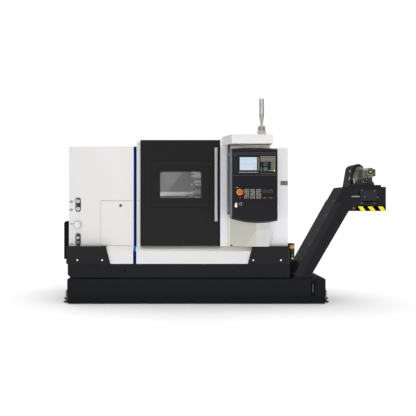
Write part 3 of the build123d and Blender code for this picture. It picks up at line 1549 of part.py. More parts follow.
# Gearmotor: a gear case against the chain guard, a motor tube along X, an end bell that looks
# at the operator, a terminal box and a curved foot
case_x0 = head_x0 + 128
case_z0 = conveyor_top + base_thickness
case_z1 = conveyor_top + 214
case_width = 90
case_flare = 16
case_depth = 125
rib_width = 9
rib_proud = 6
motor_y = base_y1 - 65
motor_z = conveyor_top + 156
tube_radius = 46
bell_radius = 43
bell_x = head_x0 + 284
bell_front = 75
bell_ring_radius = 27
bell_ring_depth = 6
plug_radius = 10
box_width = 30
box_height = 74
with BuildPart() as conveyor_gearmotor:
    with BuildSketch(front_plane(base_y1)):
        with BuildLine():
            Polyline((case_x0 + 4, case_z0), (case_x0, case_z0 + 48), (case_x0 + case_flare, case_z0 + 118),
                     (case_x0 + 45, case_z1), (case_x0 + 66, case_z1), (case_x0 + case_width, motor_z + 20),
                     (case_x0 + case_width, case_z0), close=True)
        make_face()
    extrude(amount=case_depth)
    with BuildSketch(front_plane(base_y1 - case_depth)):
        for x in (case_x0 + 26, case_x0 + 52):
            rect(x, x + rib_width, case_z0, case_z1 - 30)
    extrude(amount=rib_proud)
    with BuildSketch(Plane.YZ.offset(case_x0 + case_width)):
        with Locations((motor_y, motor_z)):
            Circle(tube_radius)
    extrude(amount=bell_x - case_x0 - case_width)
    with BuildSketch(front_plane(base_y1 - 12)):
        rect(case_x0 + case_width, bell_x - 20, case_z0, motor_z)
    extrude(amount=86)
    with BuildSketch(front_plane(motor_y + 40)):
        with Locations((bell_x, motor_z + 4)):
            Circle(bell_radius)
    extrude(amount=bell_front + 40)
    chamfer(conveyor_gearmotor.faces().sort_by(Axis.Y)[0].edges(), 6)
    with BuildSketch(front_plane(motor_y - bell_front)):
        with Locations((bell_x, motor_z + 4)):
            Circle(bell_ring_radius)
            Circle(plug_radius, mode=Mode.SUBTRACT)
    extrude(amount=-bell_ring_depth, mode=Mode.SUBTRACT)
    with BuildSketch(front_plane(motor_y + 20)):
        rect(bell_x + 34, bell_x + 34 + box_width, motor_z - 42, motor_z - 42 + box_height)
    extrude(amount=54)
    with BuildSketch(front_plane(motor_y + 40)):
        with BuildLine():
            Polyline((bell_x - 20, case_z0 - base_step), (bell_x - 20, motor_z), (bell_x + 30, motor_z - 30),
                     (bell_x + 25, case_z0 + 34), (bell_x + 46, case_z0 + 6),
                     (bell_x + 46, case_z0 - base_step), close=True)
        make_face()
        rect(bell_x - 20, base_step_x, case_z0 - base_step - 1, case_z0, mode=Mode.SUBTRACT)
    extrude(amount=90)
save("conveyor_gearmotor", conveyor_gearmotor.part)

# Chain guard: a leaning arched casing from the gear case down to the head
guard_foot_x = head_x0 + 97
guard_x = head_x0 + 192
guard_z = conveyor_top + 189
guard_radius = 62


def guard_outline(inset):
    """The guard's side: an arch over a foot that is wider at its left, drawn in by the inset."""
    with Locations((guard_x, guard_z)):
        Circle(guard_radius - inset)
    rect(guard_foot_x + inset, guard_x + guard_radius - inset, conveyor_top, conveyor_top + 2)
    make_hull()


with BuildPart() as chain_guard:
    with BuildSketch(front_plane(conveyor_y1)):
        guard_outline(0)
    extrude(amount=conveyor_y1 - base_y1)
    with BuildSketch(front_plane(conveyor_y1 - plate)):
        guard_outline(plate)
    extrude(amount=conveyor_y1 - base_y1 - 2 * plate, mode=Mode.SUBTRACT)
save("chain_guard", chain_guard.part)
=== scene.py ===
import math

import bmesh
import bpy
from mathutils import Matrix, Vector


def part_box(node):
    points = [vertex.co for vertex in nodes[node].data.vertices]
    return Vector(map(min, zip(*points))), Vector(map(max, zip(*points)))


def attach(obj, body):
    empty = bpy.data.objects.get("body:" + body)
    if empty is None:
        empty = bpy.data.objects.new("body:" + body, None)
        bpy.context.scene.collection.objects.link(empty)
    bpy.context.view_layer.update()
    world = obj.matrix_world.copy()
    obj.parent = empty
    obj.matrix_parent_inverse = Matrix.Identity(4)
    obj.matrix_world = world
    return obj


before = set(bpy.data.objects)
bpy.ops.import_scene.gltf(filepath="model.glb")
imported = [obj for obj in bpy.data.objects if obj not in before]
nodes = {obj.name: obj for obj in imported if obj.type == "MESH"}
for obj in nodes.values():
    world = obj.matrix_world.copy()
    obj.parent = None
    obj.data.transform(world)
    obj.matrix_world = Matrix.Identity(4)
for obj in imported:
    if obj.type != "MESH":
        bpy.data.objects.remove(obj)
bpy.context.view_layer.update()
MM = 0.001
# Farther out than any piece of the machine, in metres
FAR = 9.0
TO_FRONT = Vector((0, -1, 0))
UP = Vector((0, 0, 1))
SIDEWAYS = Vector((1, 0, 0))

# Boxes of the nodes that finishes and pieces are placed from
apron_low, apron_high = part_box("front_apron")
column_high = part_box("panel_column")[1]
control_low, control_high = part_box("control_unit")
display_low, display_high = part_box("display_unit")
door_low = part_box("door_panel")[0]
gauge_low, gauge_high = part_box("pressure_gauge")
glass_low, glass_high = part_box("door_window")
hatch_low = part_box("access_hatch")[0]
housing_low, housing_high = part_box("conveyor_housing")
left_low, left_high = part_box("left_cover")
lens_low, lens_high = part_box("signal_lens")
panel_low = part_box("panel_housing")[0]
rear_low, rear_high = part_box("rear_cover")
right_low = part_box("right_cover")[0]
roof_low, roof_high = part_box("roof_panel")
stop_low, stop_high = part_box("estop_button")
stripe_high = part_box("accent_stripe")[1]
switch_box_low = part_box("switch_box")[0]
switch_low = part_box("main_switch")[0]
tower_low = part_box("signal_tower")[0]

# The apron's upright band ends where its ledge starts to slope
band_top = apron_high.z - 51 * MM
cover_y = left_low.y
display_front = display_low.y
panel_front = display_front + 4 * MM
# The conveyor's head is the level box at the top of its neck
head_x0 = housing_high.x - 440 * MM
head_bottom = housing_high.z - 254 * MM
head_front = housing_low.y


# Shader maths


class Wire:
    """A shader socket that Python's operators turn into Math nodes."""

    def __init__(self, finish, socket):
        self.finish = finish
        self.socket = socket

    def math(self, operation, *others):
        return self.finish.node("Math", {"operation": operation}, dict(enumerate((self,) + others)))

    def __add__(self, other):
        return self.math("ADD", other)

    __radd__ = __add__

    def __mul__(self, other):
        return self.math("MULTIPLY", other)

    __rmul__ = __mul__

    def __sub__(self, other):
        return self.math("SUBTRACT", other)

    def __rsub__(self, other):
        return self.finish.node("Math", {"operation": "SUBTRACT"}, {0: other, 1: self})

    def __gt__(self, other):
        return self.math("GREATER_THAN", other)

    def __lt__(self, other):
        return self.math("LESS_THAN", other)

    def between(self, low, high):
        return (self > low) * (self < high)

    def clamp(self):
        return self.math("MAXIMUM", 0.0).math("MINIMUM", 1.0)


FINISHES = {}
# Sockets of the Mix node's colours, and the one they come out of
MIX_FIRST, MIX_SECOND, MIX_RESULT = 6, 7, 2


class Finish:
    """One material, kept in FINISHES: its shader, and the ways to add nodes before it."""

    def __init__(self, name, **uniform):
        self.material = bpy.data.materials.new(name)
        self.material.use_nodes = True
        self.tree = self.material.node_tree
        self.shader = self.tree.nodes["Principled BSDF"]
        for key, value in uniform.items():
            self.shader.inputs[key.replace("_", " ")].default_value = value
        FINISHES[name] = self.material

    def node(self, kind, settings=None, sockets=None, out=0):
        """A node of one kind, given as the wire or wires out of it."""
        made = self.tree.nodes.new("ShaderNode" + kind)
        for key, value in (settings or {}).items():
            setattr(made, key, value)
        for key, value in (sockets or {}).items():
            self.put(made.inputs[key], value)
        if isinstance(out, tuple):
            return [Wire(self, made.outputs[name]) for name in out]
        return Wire(self, made.outputs[out])

    def put(self, socket, value):
        if isinstance(value, Wire):
            self.tree.links.new(value.socket, socket)
        elif isinstance(value, tuple) and len(value) == 3 and socket.type == "RGBA":
            socket.default_value = value + (1.0,)
        else:
            socket.default_value = value

    def feed(self, **sockets):
        for key, value in sockets.items():
            self.put(self.shader.inputs[key.replace("_", " ")], value)

    def place(self):
        """The point on the piece, in metres of the row frame."""
        return self.node("TexCoord", out="Object")

    def axes(self):
        return self.node("SeparateXYZ", None, {0: self.place()}, ("X", "Y", "Z"))

    def noise(self, scale, detail=2.0, roughness=0.5, stretch=None):
        at = self.place()
        if stretch:
            at = self.node("Mapping", None, {"Vector": at, "Scale": stretch})
        return self.node("TexNoise", None, {"Vector": at, "Scale": scale, "Detail": detail,
                                            "Roughness": roughness}, "Fac")

    def mix(self, share, first, second):
        return self.node("Mix", {"data_type": "RGBA"},
                         {"Factor": share, MIX_FIRST: first, MIX_SECOND: second}, MIX_RESULT)

    def bump(self, height, distance):
        self.feed(Normal=self.node("Bump", None, {"Height": height, "Distance": distance}, "Normal"))


def shade(colour, factor):
    return tuple(min(1.0, c * factor) for c in colour)


def mark(colour, **bands):
    """A painted zone of a coat: its colour, and the (low, high) band it fills along each axis."""
    return colour, bands


# Flush screws in the back: radius of the socket and of the head
SOCKET_RADIUS, HEAD_RADIUS = 0.003, 0.008


def coat(name, colour, roughness, specular, grain=1400.0, depth=0.00012, marks=(), heads=()):
    """Powder coat: an even colour that drifts slightly, with a fine pebbled grain.
    Marks are zones painted over it, and heads are flush screws at (x, z) on the machine's back."""
    f = Finish(name, Specular_IOR_Level=specular)
    broad = f.noise(1.7, 3.0)
    fine = f.noise(grain, 2.0, 0.6)
    tone = f.mix(broad, shade(colour, 0.95), shade(colour, 1.05))
    tone = f.mix(fine * 0.25, tone, shade(colour, 0.86))
    axes = dict(zip("xyz", f.axes()))
    for painted, bands in marks:
        mask = None
        for axis, (low, high) in bands.items():
            band = axes[axis].between(low, high)
            mask = band if mask is None else mask * band
        tone = f.mix(mask, tone, painted)
    for x, z in heads:
        away = (axes["x"] - x) * (axes["x"] - x) + (axes["z"] - z) * (axes["z"] - z)
        on_back = axes["y"] > rear_high.y - MM
        tone = f.mix(away.between(SOCKET_RADIUS ** 2, HEAD_RADIUS ** 2) * on_back, tone, (0.34, 0.34, 0.34))
        tone = f.mix((away < SOCKET_RADIUS ** 2) * on_back, tone, (0.03, 0.03, 0.03))
    f.feed(Base_Color=tone, Roughness=roughness + (broad - 0.5) * 0.08 + (fine - 0.5) * 0.1)
    f.bump(fine, depth)


def brushed(name, colour, roughness, stretch, metallic=1.0):
    """Ground or brushed metal: streaks drawn out along the axis whose stretch is smallest."""
    f = Finish(name, Metallic=metallic)
    streaks = f.noise(260.0, 3.0, 0.65, stretch)
    cloud = f.noise(6.0, 3.0)
    tone = f.mix(streaks, shade(colour, 0.82), shade(colour, 1.12))
    tone = f.mix(cloud * 0.3, tone, shade(colour, 0.8))
    f.feed(Base_Color=tone, Roughness=(roughness + (streaks - 0.5) * 0.22 + (cloud - 0.5) * 0.1).clamp())
    f.bump(streaks, 0.00005)


def casting(name, colour, roughness):
    """Painted casting: a pitted skin with soft blotches."""
    f = Finish(name, Metallic=0.0)
    pits = f.noise(180.0, 4.0, 0.7)
    cloud = f.noise(7.0, 3.0)
    tone = f.mix(cloud, shade(colour, 0.85), shade(colour, 1.15))
    tone = f.mix((pits * 0.5).clamp(), tone, shade(colour, 0.7))
    f.feed(Base_Color=tone, Roughness=roughness + (cloud - 0.5) * 0.15)
    f.bump(pits, 0.0006)


def moulded(name, colour, roughness, coat_weight=0.0):
    """Moulded plastic: an even colour with a faint leathery grain."""
    f = Finish(name, Coat_Weight=coat_weight)
    grain = f.noise(700.0, 2.0)
    cloud = f.noise(12.0, 2.0)
    tone = f.mix(cloud, shade(colour, 0.92), shade(colour, 1.08))
    f.feed(Base_Color=tone, Roughness=(roughness + (grain - 0.5) * 0.16).clamp())
    f.bump(grain, 0.00006)


def clear(name, colour, alpha, roughness=0.06):
    """Clear sheet or lens: a faint tint with a slight haze that drifts."""
    f = Finish(name, Specular_IOR_Level=1.0, IOR=1.45)
    haze = f.noise(9.0, 3.0)
    f.feed(Base_Color=f.mix(haze, shade(colour, 0.9), shade(colour, 1.1)),
           Roughness=roughness + haze * 0.02, Alpha=alpha + (haze - 0.5) * 0.06)


# Colours and surfaces that several finishes share
WHITE = (0.82, 0.793, 0.795)
LEDGE_GREY = (0.80, 0.81, 0.75)
POST_SHADE_BLUE = (0.775, 0.79, 0.865)
PLATE_BLACK = (0.0145, 0.0145, 0.0142)
SHEET = {"roughness": 0.42, "specular": 0.3}
COARSE = {"grain": 600.0, "depth": 0.0004}

# Zones painted on single pieces, each from low to high in metres
POST_X, POST_Z = (-0.013, 0.058), (0.6, 1.64)
PORTAL_CORNER_X, PORTAL_CORNER_Z = (-0.91, -0.8536), (1.656, 1.72)
DOOR_GAP_SHADOW_X, DOOR_GAP_SHADOW_Z = (-0.8536, -0.0155), (1.7184, 1.7250)
COLUMN_FLANK_SHADE_X, UNDER_HOOD_SHADE_Z = (0.0, 0.092), (1.59, 1.66)
TANK_FOOT_SHADE_Z = (0.0, 0.082)
PULL_BAR_X, PULL_BAR_Z = (0.9485, 0.9585), (0.125, 0.205)
DOOR_EDGE_X, DOOR_TOP_SHADOW_Z = (-0.034, 0.0), (1.712, 1.73)
REVEAL_X, REVEAL_Z, REVEAL_Y = (-0.76, -0.11), (1.0, 1.52), (-0.6388, -0.630)
HEAD_PLATES_Y = (-0.66, -0.6552)
ACCESS_PLATE_X, ACCESS_PLATE_Z = (head_x0 + 160 * MM, head_x0 + 345 * MM), (1.06, 1.20)
SLOT_X, SLOT_Z = (head_x0 + 80 * MM, head_x0 + 166.5 * MM), (1.1175, 1.1305)
FOOT_PAD_Z = (0.054, 0.2)
PANEL_TOP_Z = (1.585, 1.66)
PANEL_SHELL_AND_LIGHT_X, PANEL_SHELL_AND_LIGHT_Y = (0.0, 0.0945), (-0.8478, 0.0)

# Back: three sheets side by side, held by seven columns of flush screws
REAR_MARGIN, REAR_COLUMNS, REAR_SEAM_HALF = 0.04, 7, 0.002
rear_width = rear_high.x - rear_low.x
rear_heads = [(rear_low.x + REAR_MARGIN + i * (rear_width - 2 * REAR_MARGIN) / (REAR_COLUMNS - 1), z)
              for i in range(REAR_COLUMNS)
              for z in (rear_low.z + REAR_MARGIN, (rear_low.z + rear_high.z) / 2, rear_high.z - REAR_MARGIN)]
rear_seams = []
for third in (1, 2):
    seam = rear_low.x + rear_width * third / 3
    rear_seams.append(mark((0.06, 0.055, 0.055), x=(seam - REAR_SEAM_HALF, seam + REAR_SEAM_HALF)))

coat("white_powder_coat", WHITE, **SHEET)
coat("rear_powder_coat", WHITE, marks=rear_seams, heads=rear_heads, **SHEET)
coat("apron_powder_coat", WHITE, **SHEET, marks=[
    mark(LEDGE_GREY, z=(band_top + MM, apron_high.z + 10 * MM), y=(apron_low.y + MM, FAR)),
    mark(PLATE_BLACK, x=(apron_high.x - 14.5 * MM, apron_high.x + MM))])
# Painted light and shade on the portal: the post beside the door is painted a blue-grey shade, the corner
# above the left cover is painted near white so it fades into the backdrop, and the gap over the door is a
# painted shadow
coat("portal_powder_coat", (0.86, 0.83, 0.83), **SHEET, marks=[
    mark(POST_SHADE_BLUE, x=POST_X, z=POST_Z),
    mark((0.96, 0.96, 0.96), x=PORTAL_CORNER_X, z=PORTAL_CORNER_Z),
    mark((0.004, 0.004, 0.004), x=DOOR_GAP_SHADOW_X, z=DOOR_GAP_SHADOW_Z)])
coat("right_powder_coat", (0.93, 0.93, 0.95), **SHEET)
# Painted light and shade on the column: darker grey below the panel and olive on its slanted facet stand for
# the panel's shade, and a pale olive on its left flank and under the hood is shade painted lighter than the
# lighting there gives
coat("column_powder_coat", (0.94, 0.94, 0.98), **SHEET, marks=[
    mark((0.66, 0.665, 0.64), x=(0.0, 0.60)),
    mark((0.60, 0.605, 0.52), x=(0.0, column_high.x - 142 * MM)),
    mark((0.96, 0.93, 0.78), x=COLUMN_FLANK_SHADE_X),
    mark((0.97, 0.97, 0.80), z=UNDER_HOOD_SHADE_Z)])
# Tank: its lowest band is painted darker, painted shade near the floor
coat("tank_enamel", (0.0088, 0.0096, 0.0110), 0.55, 0.10, grain=900.0, depth=0.0002, marks=[
    mark((0.0065, 0.0075, 0.0085), z=TANK_FOOT_SHADE_Z),
    mark((0.14, 0.125, 0.11), x=PULL_BAR_X, z=PULL_BAR_Z)])
coat("side_box_enamel", (0.0035, 0.0040, 0.0056), 0.5, 0.08, grain=900.0)
coat("skirt_enamel", (0.0085, 0.0103, 0.0148), 0.5, 0.12, grain=1100.0)
coat("corner_plate_coat", PLATE_BLACK, 0.5, 0.12)
# Painted shade on the door: a dark band along its top is the painted shadow of the gap over it, and the
# window's reveal behind its face is painted near black as shade
coat("door_coat", (0.0138, 0.0138, 0.0136), 0.5, 0.11, marks=[
    mark((0.0075, 0.0078, 0.0075), x=DOOR_EDGE_X),
    mark((0.0015, 0.0015, 0.0015), z=DOOR_TOP_SHADOW_Z),
    mark((0.002, 0.002, 0.002), x=REVEAL_X, z=REVEAL_Z, y=REVEAL_Y)])
coat("conveyor_coat", (0.0092, 0.0091, 0.0112), 0.55, 0.15, **COARSE, marks=[
    mark((0.0112, 0.0109, 0.0135), x=(head_x0 + MM, FAR))])
coat("conveyor_cover_coat", (0.0145, 0.0143, 0.0172), 0.55, 0.17, **COARSE, marks=[
    mark((0.0200, 0.0208, 0.0238), x=ACCESS_PLATE_X, z=ACCESS_PLATE_Z, y=HEAD_PLATES_Y),
    mark((0.24, 0.30, 0.35), x=SLOT_X, z=SLOT_Z, y=HEAD_PLATES_Y)])
coat("guard_coat", (0.0185, 0.0185, 0.022), 0.5, 0.22, **COARSE)
coat("foot_steel_coat", (0.035, 0.034, 0.033), 0.45, 0.4, grain=500.0, depth=0.0003, marks=[
    mark((0.30, 0.28, 0.25), z=FOOT_PAD_Z)])
coat("stripe_film", (0.0, 0.018, 0.122), 0.6, 0.01, marks=[
    mark((0.001, 0.165, 0.56), z=(band_top + MM, apron_high.z))])
# Panel: its left flank behind the front band is paler, partly a paler rear shell and partly painted light on
# this lit side
coat("panel_coat", (0.0118, 0.0116, 0.0165), 0.5, 0.11, marks=[
    mark((0.022, 0.018, 0.027), z=PANEL_TOP_Z),
    mark((0.235, 0.230, 0.275), x=PANEL_SHELL_AND_LIGHT_X, y=PANEL_SHELL_AND_LIGHT_Y)])
coat("seam_black", (0.0014, 0.0014, 0.0018), 0.7, 0.02)

brushed("ground_steel", (0.56, 0.55, 0.53), 0.3, (0.04, 1.0, 1.0))
brushed("handle_steel", (0.43, 0.41, 0.40), 0.38, (1.0, 1.0, 0.03), metallic=0.75)
brushed("cover_sheet", (0.36, 0.37, 0.36), 0.4, (1.0, 0.1, 0.1))
brushed("chuck_steel", (0.42, 0.42, 0.43), 0.32, (0.1, 1.0, 1.0))
brushed("turret_steel", (0.075, 0.078, 0.078), 0.4, (1.0, 0.2, 0.2), metallic=0.3)
brushed("tool_steel", (0.75, 0.77, 0.78), 0.3, (1.0, 0.2, 0.2), metallic=0.6)
brushed("bright_zinc", (0.78, 0.78, 0.78), 0.3, (1.0, 1.0, 1.0), metallic=0.6)
casting("machine_casting", (0.20, 0.21, 0.20), 0.5)

moulded("black_moulding", (0.010, 0.010, 0.011), 0.5)
moulded("red_moulding", (0.68, 0.045, 0.018), 0.35, coat_weight=0.2)
moulded("yellow_moulding", (0.62, 0.35, 0.02), 0.4)
moulded("green_moulding", (0.01, 0.20, 0.09), 0.4)
moulded("orange_moulding", (0.125, 0.062, 0.008), 0.5)
moulded("white_moulding", (0.86, 0.86, 0.84), 0.4)
moulded("screw_grey", (0.15, 0.15, 0.16), 0.4)
moulded("bare_grey", (0.33, 0.32, 0.31), 0.5)
moulded("port_frame_grey", (0.36, 0.35, 0.33), 0.5)
moulded("seam_grey", (0.36, 0.33, 0.32), 0.6)
moulded("edge_shade_brown", (0.10, 0.085, 0.072), 0.4)
moulded("bright_yellow", (0.74, 0.66, 0.012), 0.4)
moulded("plug_yellow", (0.66, 0.60, 0.10), 0.4)
moulded("dark_taupe", (0.185, 0.150, 0.120), 0.5)
moulded("dark_line", (0.055, 0.045, 0.050), 0.5)
moulded("red_line", (0.085, 0.045, 0.042), 0.5)
moulded("lamp_low", (0.72, 0.93, 0.50), 0.5)
moulded("lamp_high", (0.72, 0.71, 0.73), 0.5)
clear("window_glass", (0.14, 0.135, 0.135), 0.32, 0.02)
clear("lens_clear", (0.62, 0.60, 0.56), 0.22)


def liner_finish():
    """Work area's lining: dull grey sheet above, and paler sheet on the shelf and below it."""
    f = Finish("liner_sheet", Specular_IOR_Level=0.3)
    x, y, z = f.axes()
    shelf_top = 1.1995
    streaks = f.noise(120.0, 3.0, 0.65, (1.0, 0.1, 0.1))
    cloud = f.noise(5.0, 3.0)
    tone = f.mix(cloud, (0.15, 0.147, 0.143), (0.20, 0.197, 0.193))
    tone = f.mix(z < shelf_top, tone, (0.82, 0.82, 0.87))
    tone = f.mix(streaks * 0.3, tone, (0.14, 0.14, 0.14))
    f.feed(Base_Color=tone, Roughness=0.5 + (streaks - 0.5) * 0.2)
    f.bump(streaks, 0.00005)


def tower_finish():
    """Tower base: a pale mount on the hood, then satin silver drawn along its height."""
    f = Finish("tower_silver", Specular_IOR_Level=0.4)
    x, y, z = f.axes()
    streaks = f.noise(260.0, 3.0, 0.65, (1.0, 1.0, 0.05))
    above = z > tower_low.z + 53 * MM
    tone = f.mix(streaks, (0.36, 0.33, 0.31), (0.48, 0.45, 0.43))
    f.feed(Base_Color=f.mix(above, (0.56, 0.545, 0.53), tone), Metallic=above * 0.7,
           Roughness=0.4 + (streaks - 0.5) * 0.15)
    f.bump(streaks, 0.00004)


def motor_finish():
    """Gearmotor: bare cast aluminium above, and its lower half dark, for black paint on its feet and painted
    shade under the case.
    """
    f = Finish("motor_casting", Specular_IOR_Level=0.35)
    x, y, z = f.axes()
    pits = f.noise(180.0, 4.0, 0.7)
    cloud = f.noise(16.0, 3.0)
    # Bare parts, from the flange's ribs, drawn as stripes of painted shade, to the rusty end, a stretch of
    # painted shade below the tube and a painted highlight along the top of the case
    rib_pitch, rib_width = 12 * MM, 3 * MM
    rusty_x0 = 1.6005
    shade_x0, lit_x0, lit_x1 = 1.438, 1.492, 1.545
    shade_top, lit_foot = 1.408, 1.398
    ribs = x.math("MODULO", rib_pitch).between(0.0, rib_width) * x.between(head_x0 + 0.218, head_x0 + 0.25)
    bare = f.mix(cloud, (0.165, 0.150, 0.130), (0.275, 0.255, 0.225))
    bare = f.mix(ribs * 0.8, bare, (0.035, 0.032, 0.03))
    bare = f.mix(x > rusty_x0, bare, (0.075, 0.052, 0.036))
    shade_below_tube = (((x + cloud * 0.03) - shade_x0) * 40.0).clamp() * (x < lit_x0) * (z < shade_top)
    bare = f.mix(shade_below_tube * 0.8, bare, (0.030, 0.026, 0.020))
    lit = (z > lit_foot) * (x > lit_x0) * (x < lit_x1)
    bare = f.mix(lit * 0.7, bare, (0.42, 0.40, 0.36))
    # Dark lower half, black paint on the feet and painted shade under the case, which stops at the terminal
    # box
    dark_top, terminal_foot = 1.335, 1.30
    low = (z + cloud * 0.03) < dark_top
    terminal_box = (x < head_x0 + 0.206) * (z > terminal_foot)
    dark = f.mix(cloud, (0.010, 0.0095, 0.010), (0.022, 0.020, 0.019))
    tone = f.mix(low * (1.0 - terminal_box), bare, dark)
    tone = f.mix((pits * 0.4).clamp(), tone, (0.03, 0.03, 0.03))
    f.feed(Base_Color=tone, Metallic=(1.0 - low) * 0.25, Roughness=0.5 + (cloud - 0.5) * 0.2)
    f.bump(pits, 0.0006)


def switch_finish():
    """Main switch: a yellow disc whose lower edge is black."""
    f = Finish("switch_yellow", Specular_IOR_Level=0.35)
    x, y, z = f.axes()
    fine = f.noise(700.0)
    black_edge = z < switch_low.z + 14 * MM
    tone = f.mix(fine, (0.62, 0.36, 0.012), (0.72, 0.43, 0.018))
    f.feed(Base_Color=f.mix(black_edge, tone, (0.012, 0.012, 0.012)), Roughness=0.4 + fine * 0.08)
    f.bump(fine, 0.00006)


def hazard_yellow():
    """Retroreflective yellow film: tiny beads under a clear face."""
    f = Finish("hazard_yellow", Coat_Weight=0.2)
    beads = f.node("TexVoronoi", None, {"Vector": f.place(), "Scale": 900.0}, "Distance")
    f.feed(Base_Color=f.mix(beads, (0.95, 0.86, 0.004), (0.82, 0.72, 0.004)), Roughness=0.4 + beads * 0.2)
    f.bump(beads, 0.00005)


liner_finish()
tower_finish()
motor_finish()
switch_finish()
hazard_yellow()


# Mesh making

# Points nearer than this are welded, edges sharper than this stay crisp, and a tip has this radius
WELD_DISTANCE, CRISP_ANGLE, TIP_RADIUS = 1e-6, math.radians(32), 1e-5


def new_piece(name, finish, body, shape):
    """One named piece from a bmesh, riding on a body."""
    mesh = bpy.data.meshes.new(name)
    bmesh.ops.remove_doubles(shape, verts=shape.verts, dist=WELD_DISTANCE)
    bmesh.ops.recalc_face_normals(shape, faces=shape.faces)
    shape.to_mesh(mesh)
    shape.free()
    made = bpy.data.objects.new(name, mesh)
    bpy.context.scene.collection.objects.link(made)
    mesh.materials.append(FINISHES[finish])
    for face in mesh.polygons:
        face.use_smooth = True
    mesh.set_sharp_from_angle(angle=CRISP_ANGLE)
    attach(made, body)


def prism(shape, outline, base, across, up, height, edge=0.0):
    """Extrudes an outline, given as (across, up) pairs in metres, with a small worked edge."""
    across, up = Vector(across).normalized(), Vector(up).normalized()
    out = across.cross(up)
    base = Vector(base)
    rings = [(0.0, 0.0), (height, 0.0)] if edge <= 0 else [(0.0, 0.0), (height - edge, 0.0), (height, edge)]
    middle = Vector((sum(p[0] for p in outline) / len(outline), sum(p[1] for p in outline) / len(outline)))
    loops = []
    for lift, inset in rings:
        loop = []
        for a, b in outline:
            point = Vector((a, b))
            if inset:
                inward = middle - point
                point = point + inward.normalized() * min(inset, inward.length)
            loop.append(shape.verts.new(base + across * point.x + up * point.y + out * lift))
        loops.append(loop)
    shape.faces.new(loops[0][::-1])
    shape.faces.new(loops[-1])
    for lower, upper in zip(loops, loops[1:]):
        for i in range(len(lower)):
            j = (i + 1) % len(lower)
            shape.faces.new((lower[i], lower[j], upper[j], upper[i]))


def box_outline(width, height, corner=0.0, steps=4):
    """A rectangle about the origin, with rounded corners where corner isn't zero."""
    w, h = width / 2, height / 2
    if corner <= 0:
        return [(-w, -h), (w, -h), (w, h), (-w, h)]
    points = []
    for x, y, start in ((w - corner, -h + corner, -90), (w - corner, h - corner, 0),
                        (-w + corner, h - corner, 90), (-w + corner, -h + corner, 180)):
        for i in range(steps + 1):
            a = math.radians(start + 90 * i / steps)
            points.append((x + corner * math.cos(a), y + corner * math.sin(a)))
    return points


def turned(shape, profile, centre, axis, sides, closed):
    """Turns a profile of (distance along the axis, radius) pairs about an axis; a closed one has a hole."""
    axis = Vector(axis).normalized()
    across = axis.orthogonal().normalized()
    other = axis.cross(across)
    centre = Vector(centre)
    rings = []
    for along, radius in profile:
        ring = []
        for i in range(sides):
            a = 2 * math.pi * i / sides
            outwards = across * math.cos(a) + other * math.sin(a)
            ring.append(shape.verts.new(centre + axis * along + outwards * max(radius, TIP_RADIUS)))
        rings.append(ring)
    pairs = list(zip(rings, rings[1:]))
    if closed:
        pairs.append((rings[-1], rings[0]))
    for lower, upper in pairs:
        for i in range(sides):
            j = (i + 1) % sides
            shape.faces.new((lower[i], lower[j], upper[j], upper[i]))
    if not closed:
        shape.faces.new(rings[0][::-1])
        shape.faces.new(rings[-1])


def turned_pieces(name, spots, profile, axis, finish, body, sides, closed=False):
    """The same turned shape at every spot, as one piece."""
    shape = bmesh.new()
    for spot in spots:
        turned(shape, profile, spot, axis, sides, closed)
    new_piece(name, finish, body, shape)


# A dome head with a socket: (height, radius) as shares of the head's radius
DOME = ((0, 1.0), (0.25, 1.0), (0.62, 0.72), (0.7, 0.45), (0.35, 0.42), (0.35, 0))


def dome_screws(name, spots, out, radius, finish="bright_zinc"):
    """Dome-headed screws with a socket, all in one piece."""
    profile = [(radius * height, radius * share) for height, share in DOME]
    turned_pieces(name, spots, profile, out, finish, "machine", 16)


def plates(name, outlines, y, thickness, finish, body, edge=0.0):
    """Flat plates that face the operator: outlines in (x, z) metres, on a face at depth y."""
    shape = bmesh.new()
    for outline in outlines:
        prism(shape, outline, (0, y, 0), SIDEWAYS, UP, thickness, edge)
    new_piece(name, finish, body, shape)


def shifted(outline, x, z):
    return [(a + x, b + z) for a, b in outline]


def bar(x0, x1, z0, z1):
    """A rectangle's outline from its four edges, in metres."""
    return [(x0, z0), (x1, z0), (x1, z1), (x0, z1)]


def tile(width, height, x, z, corner=0.0):
    """A plate outline about a point, all in millimetres."""
    return shifted(box_outline(width * MM, height * MM, corner * MM), x * MM, z * MM)


def middle(low, high):
    """The middle of a box seen from the front, as (x, z)."""
    return (low.x + high.x) / 2, (low.z + high.z) / 2


def facing(name, x, z):
    """The point where a line from the front first meets a CAD node, in metres."""
    body = nodes[name]
    inside = body.matrix_world.inverted()
    start, along = inside @ Vector((x, -3, z)), inside.to_3x3() @ Vector((0, 1, 0))
    return body.matrix_world @ body.ray_cast(start, along)[1]


def dress(material, *names):
    """Gives CAD nodes a finish by their material slot."""
    for name in names:
        slots = nodes[name].data.materials
        if len(slots):
            slots[0] = FINISHES[material]
        else:
            slots.append(FINISHES[material])


dress("white_powder_coat", "left_cover", "access_hatch", "roof_panel", "hood")
dress("rear_powder_coat", "rear_cover")
dress("right_powder_coat", "right_cover")
dress("portal_powder_coat", "door_portal")
dress("column_powder_coat", "panel_column")
dress("apron_powder_coat", "front_apron")
dress("tank_enamel", "coolant_tank", "switch_box", "panel_hinge_rod")
dress("side_box_enamel", "side_box")
dress("skirt_enamel", "bed_skirt")
dress("corner_plate_coat", "corner_plates")
dress("door_coat", "door_panel")
dress("conveyor_coat", "conveyor_housing")
dress("conveyor_cover_coat", "conveyor_covers")
dress("guard_coat", "chain_guard")
dress("panel_coat", "panel_housing")
dress("stripe_film", "accent_stripe")
dress("foot_steel_coat", "leveling_feet")
dress("bright_zinc", "corner_screws", "key_switch")
dress("black_moulding", "service_ports", "hatch_lock", "feed_knob", "speed_knob")
dress("handle_steel", "door_handle", "pressure_gauge")
dress("tower_silver", "signal_tower")
dress("lens_clear", "signal_lens")
dress("window_glass", "door_window")
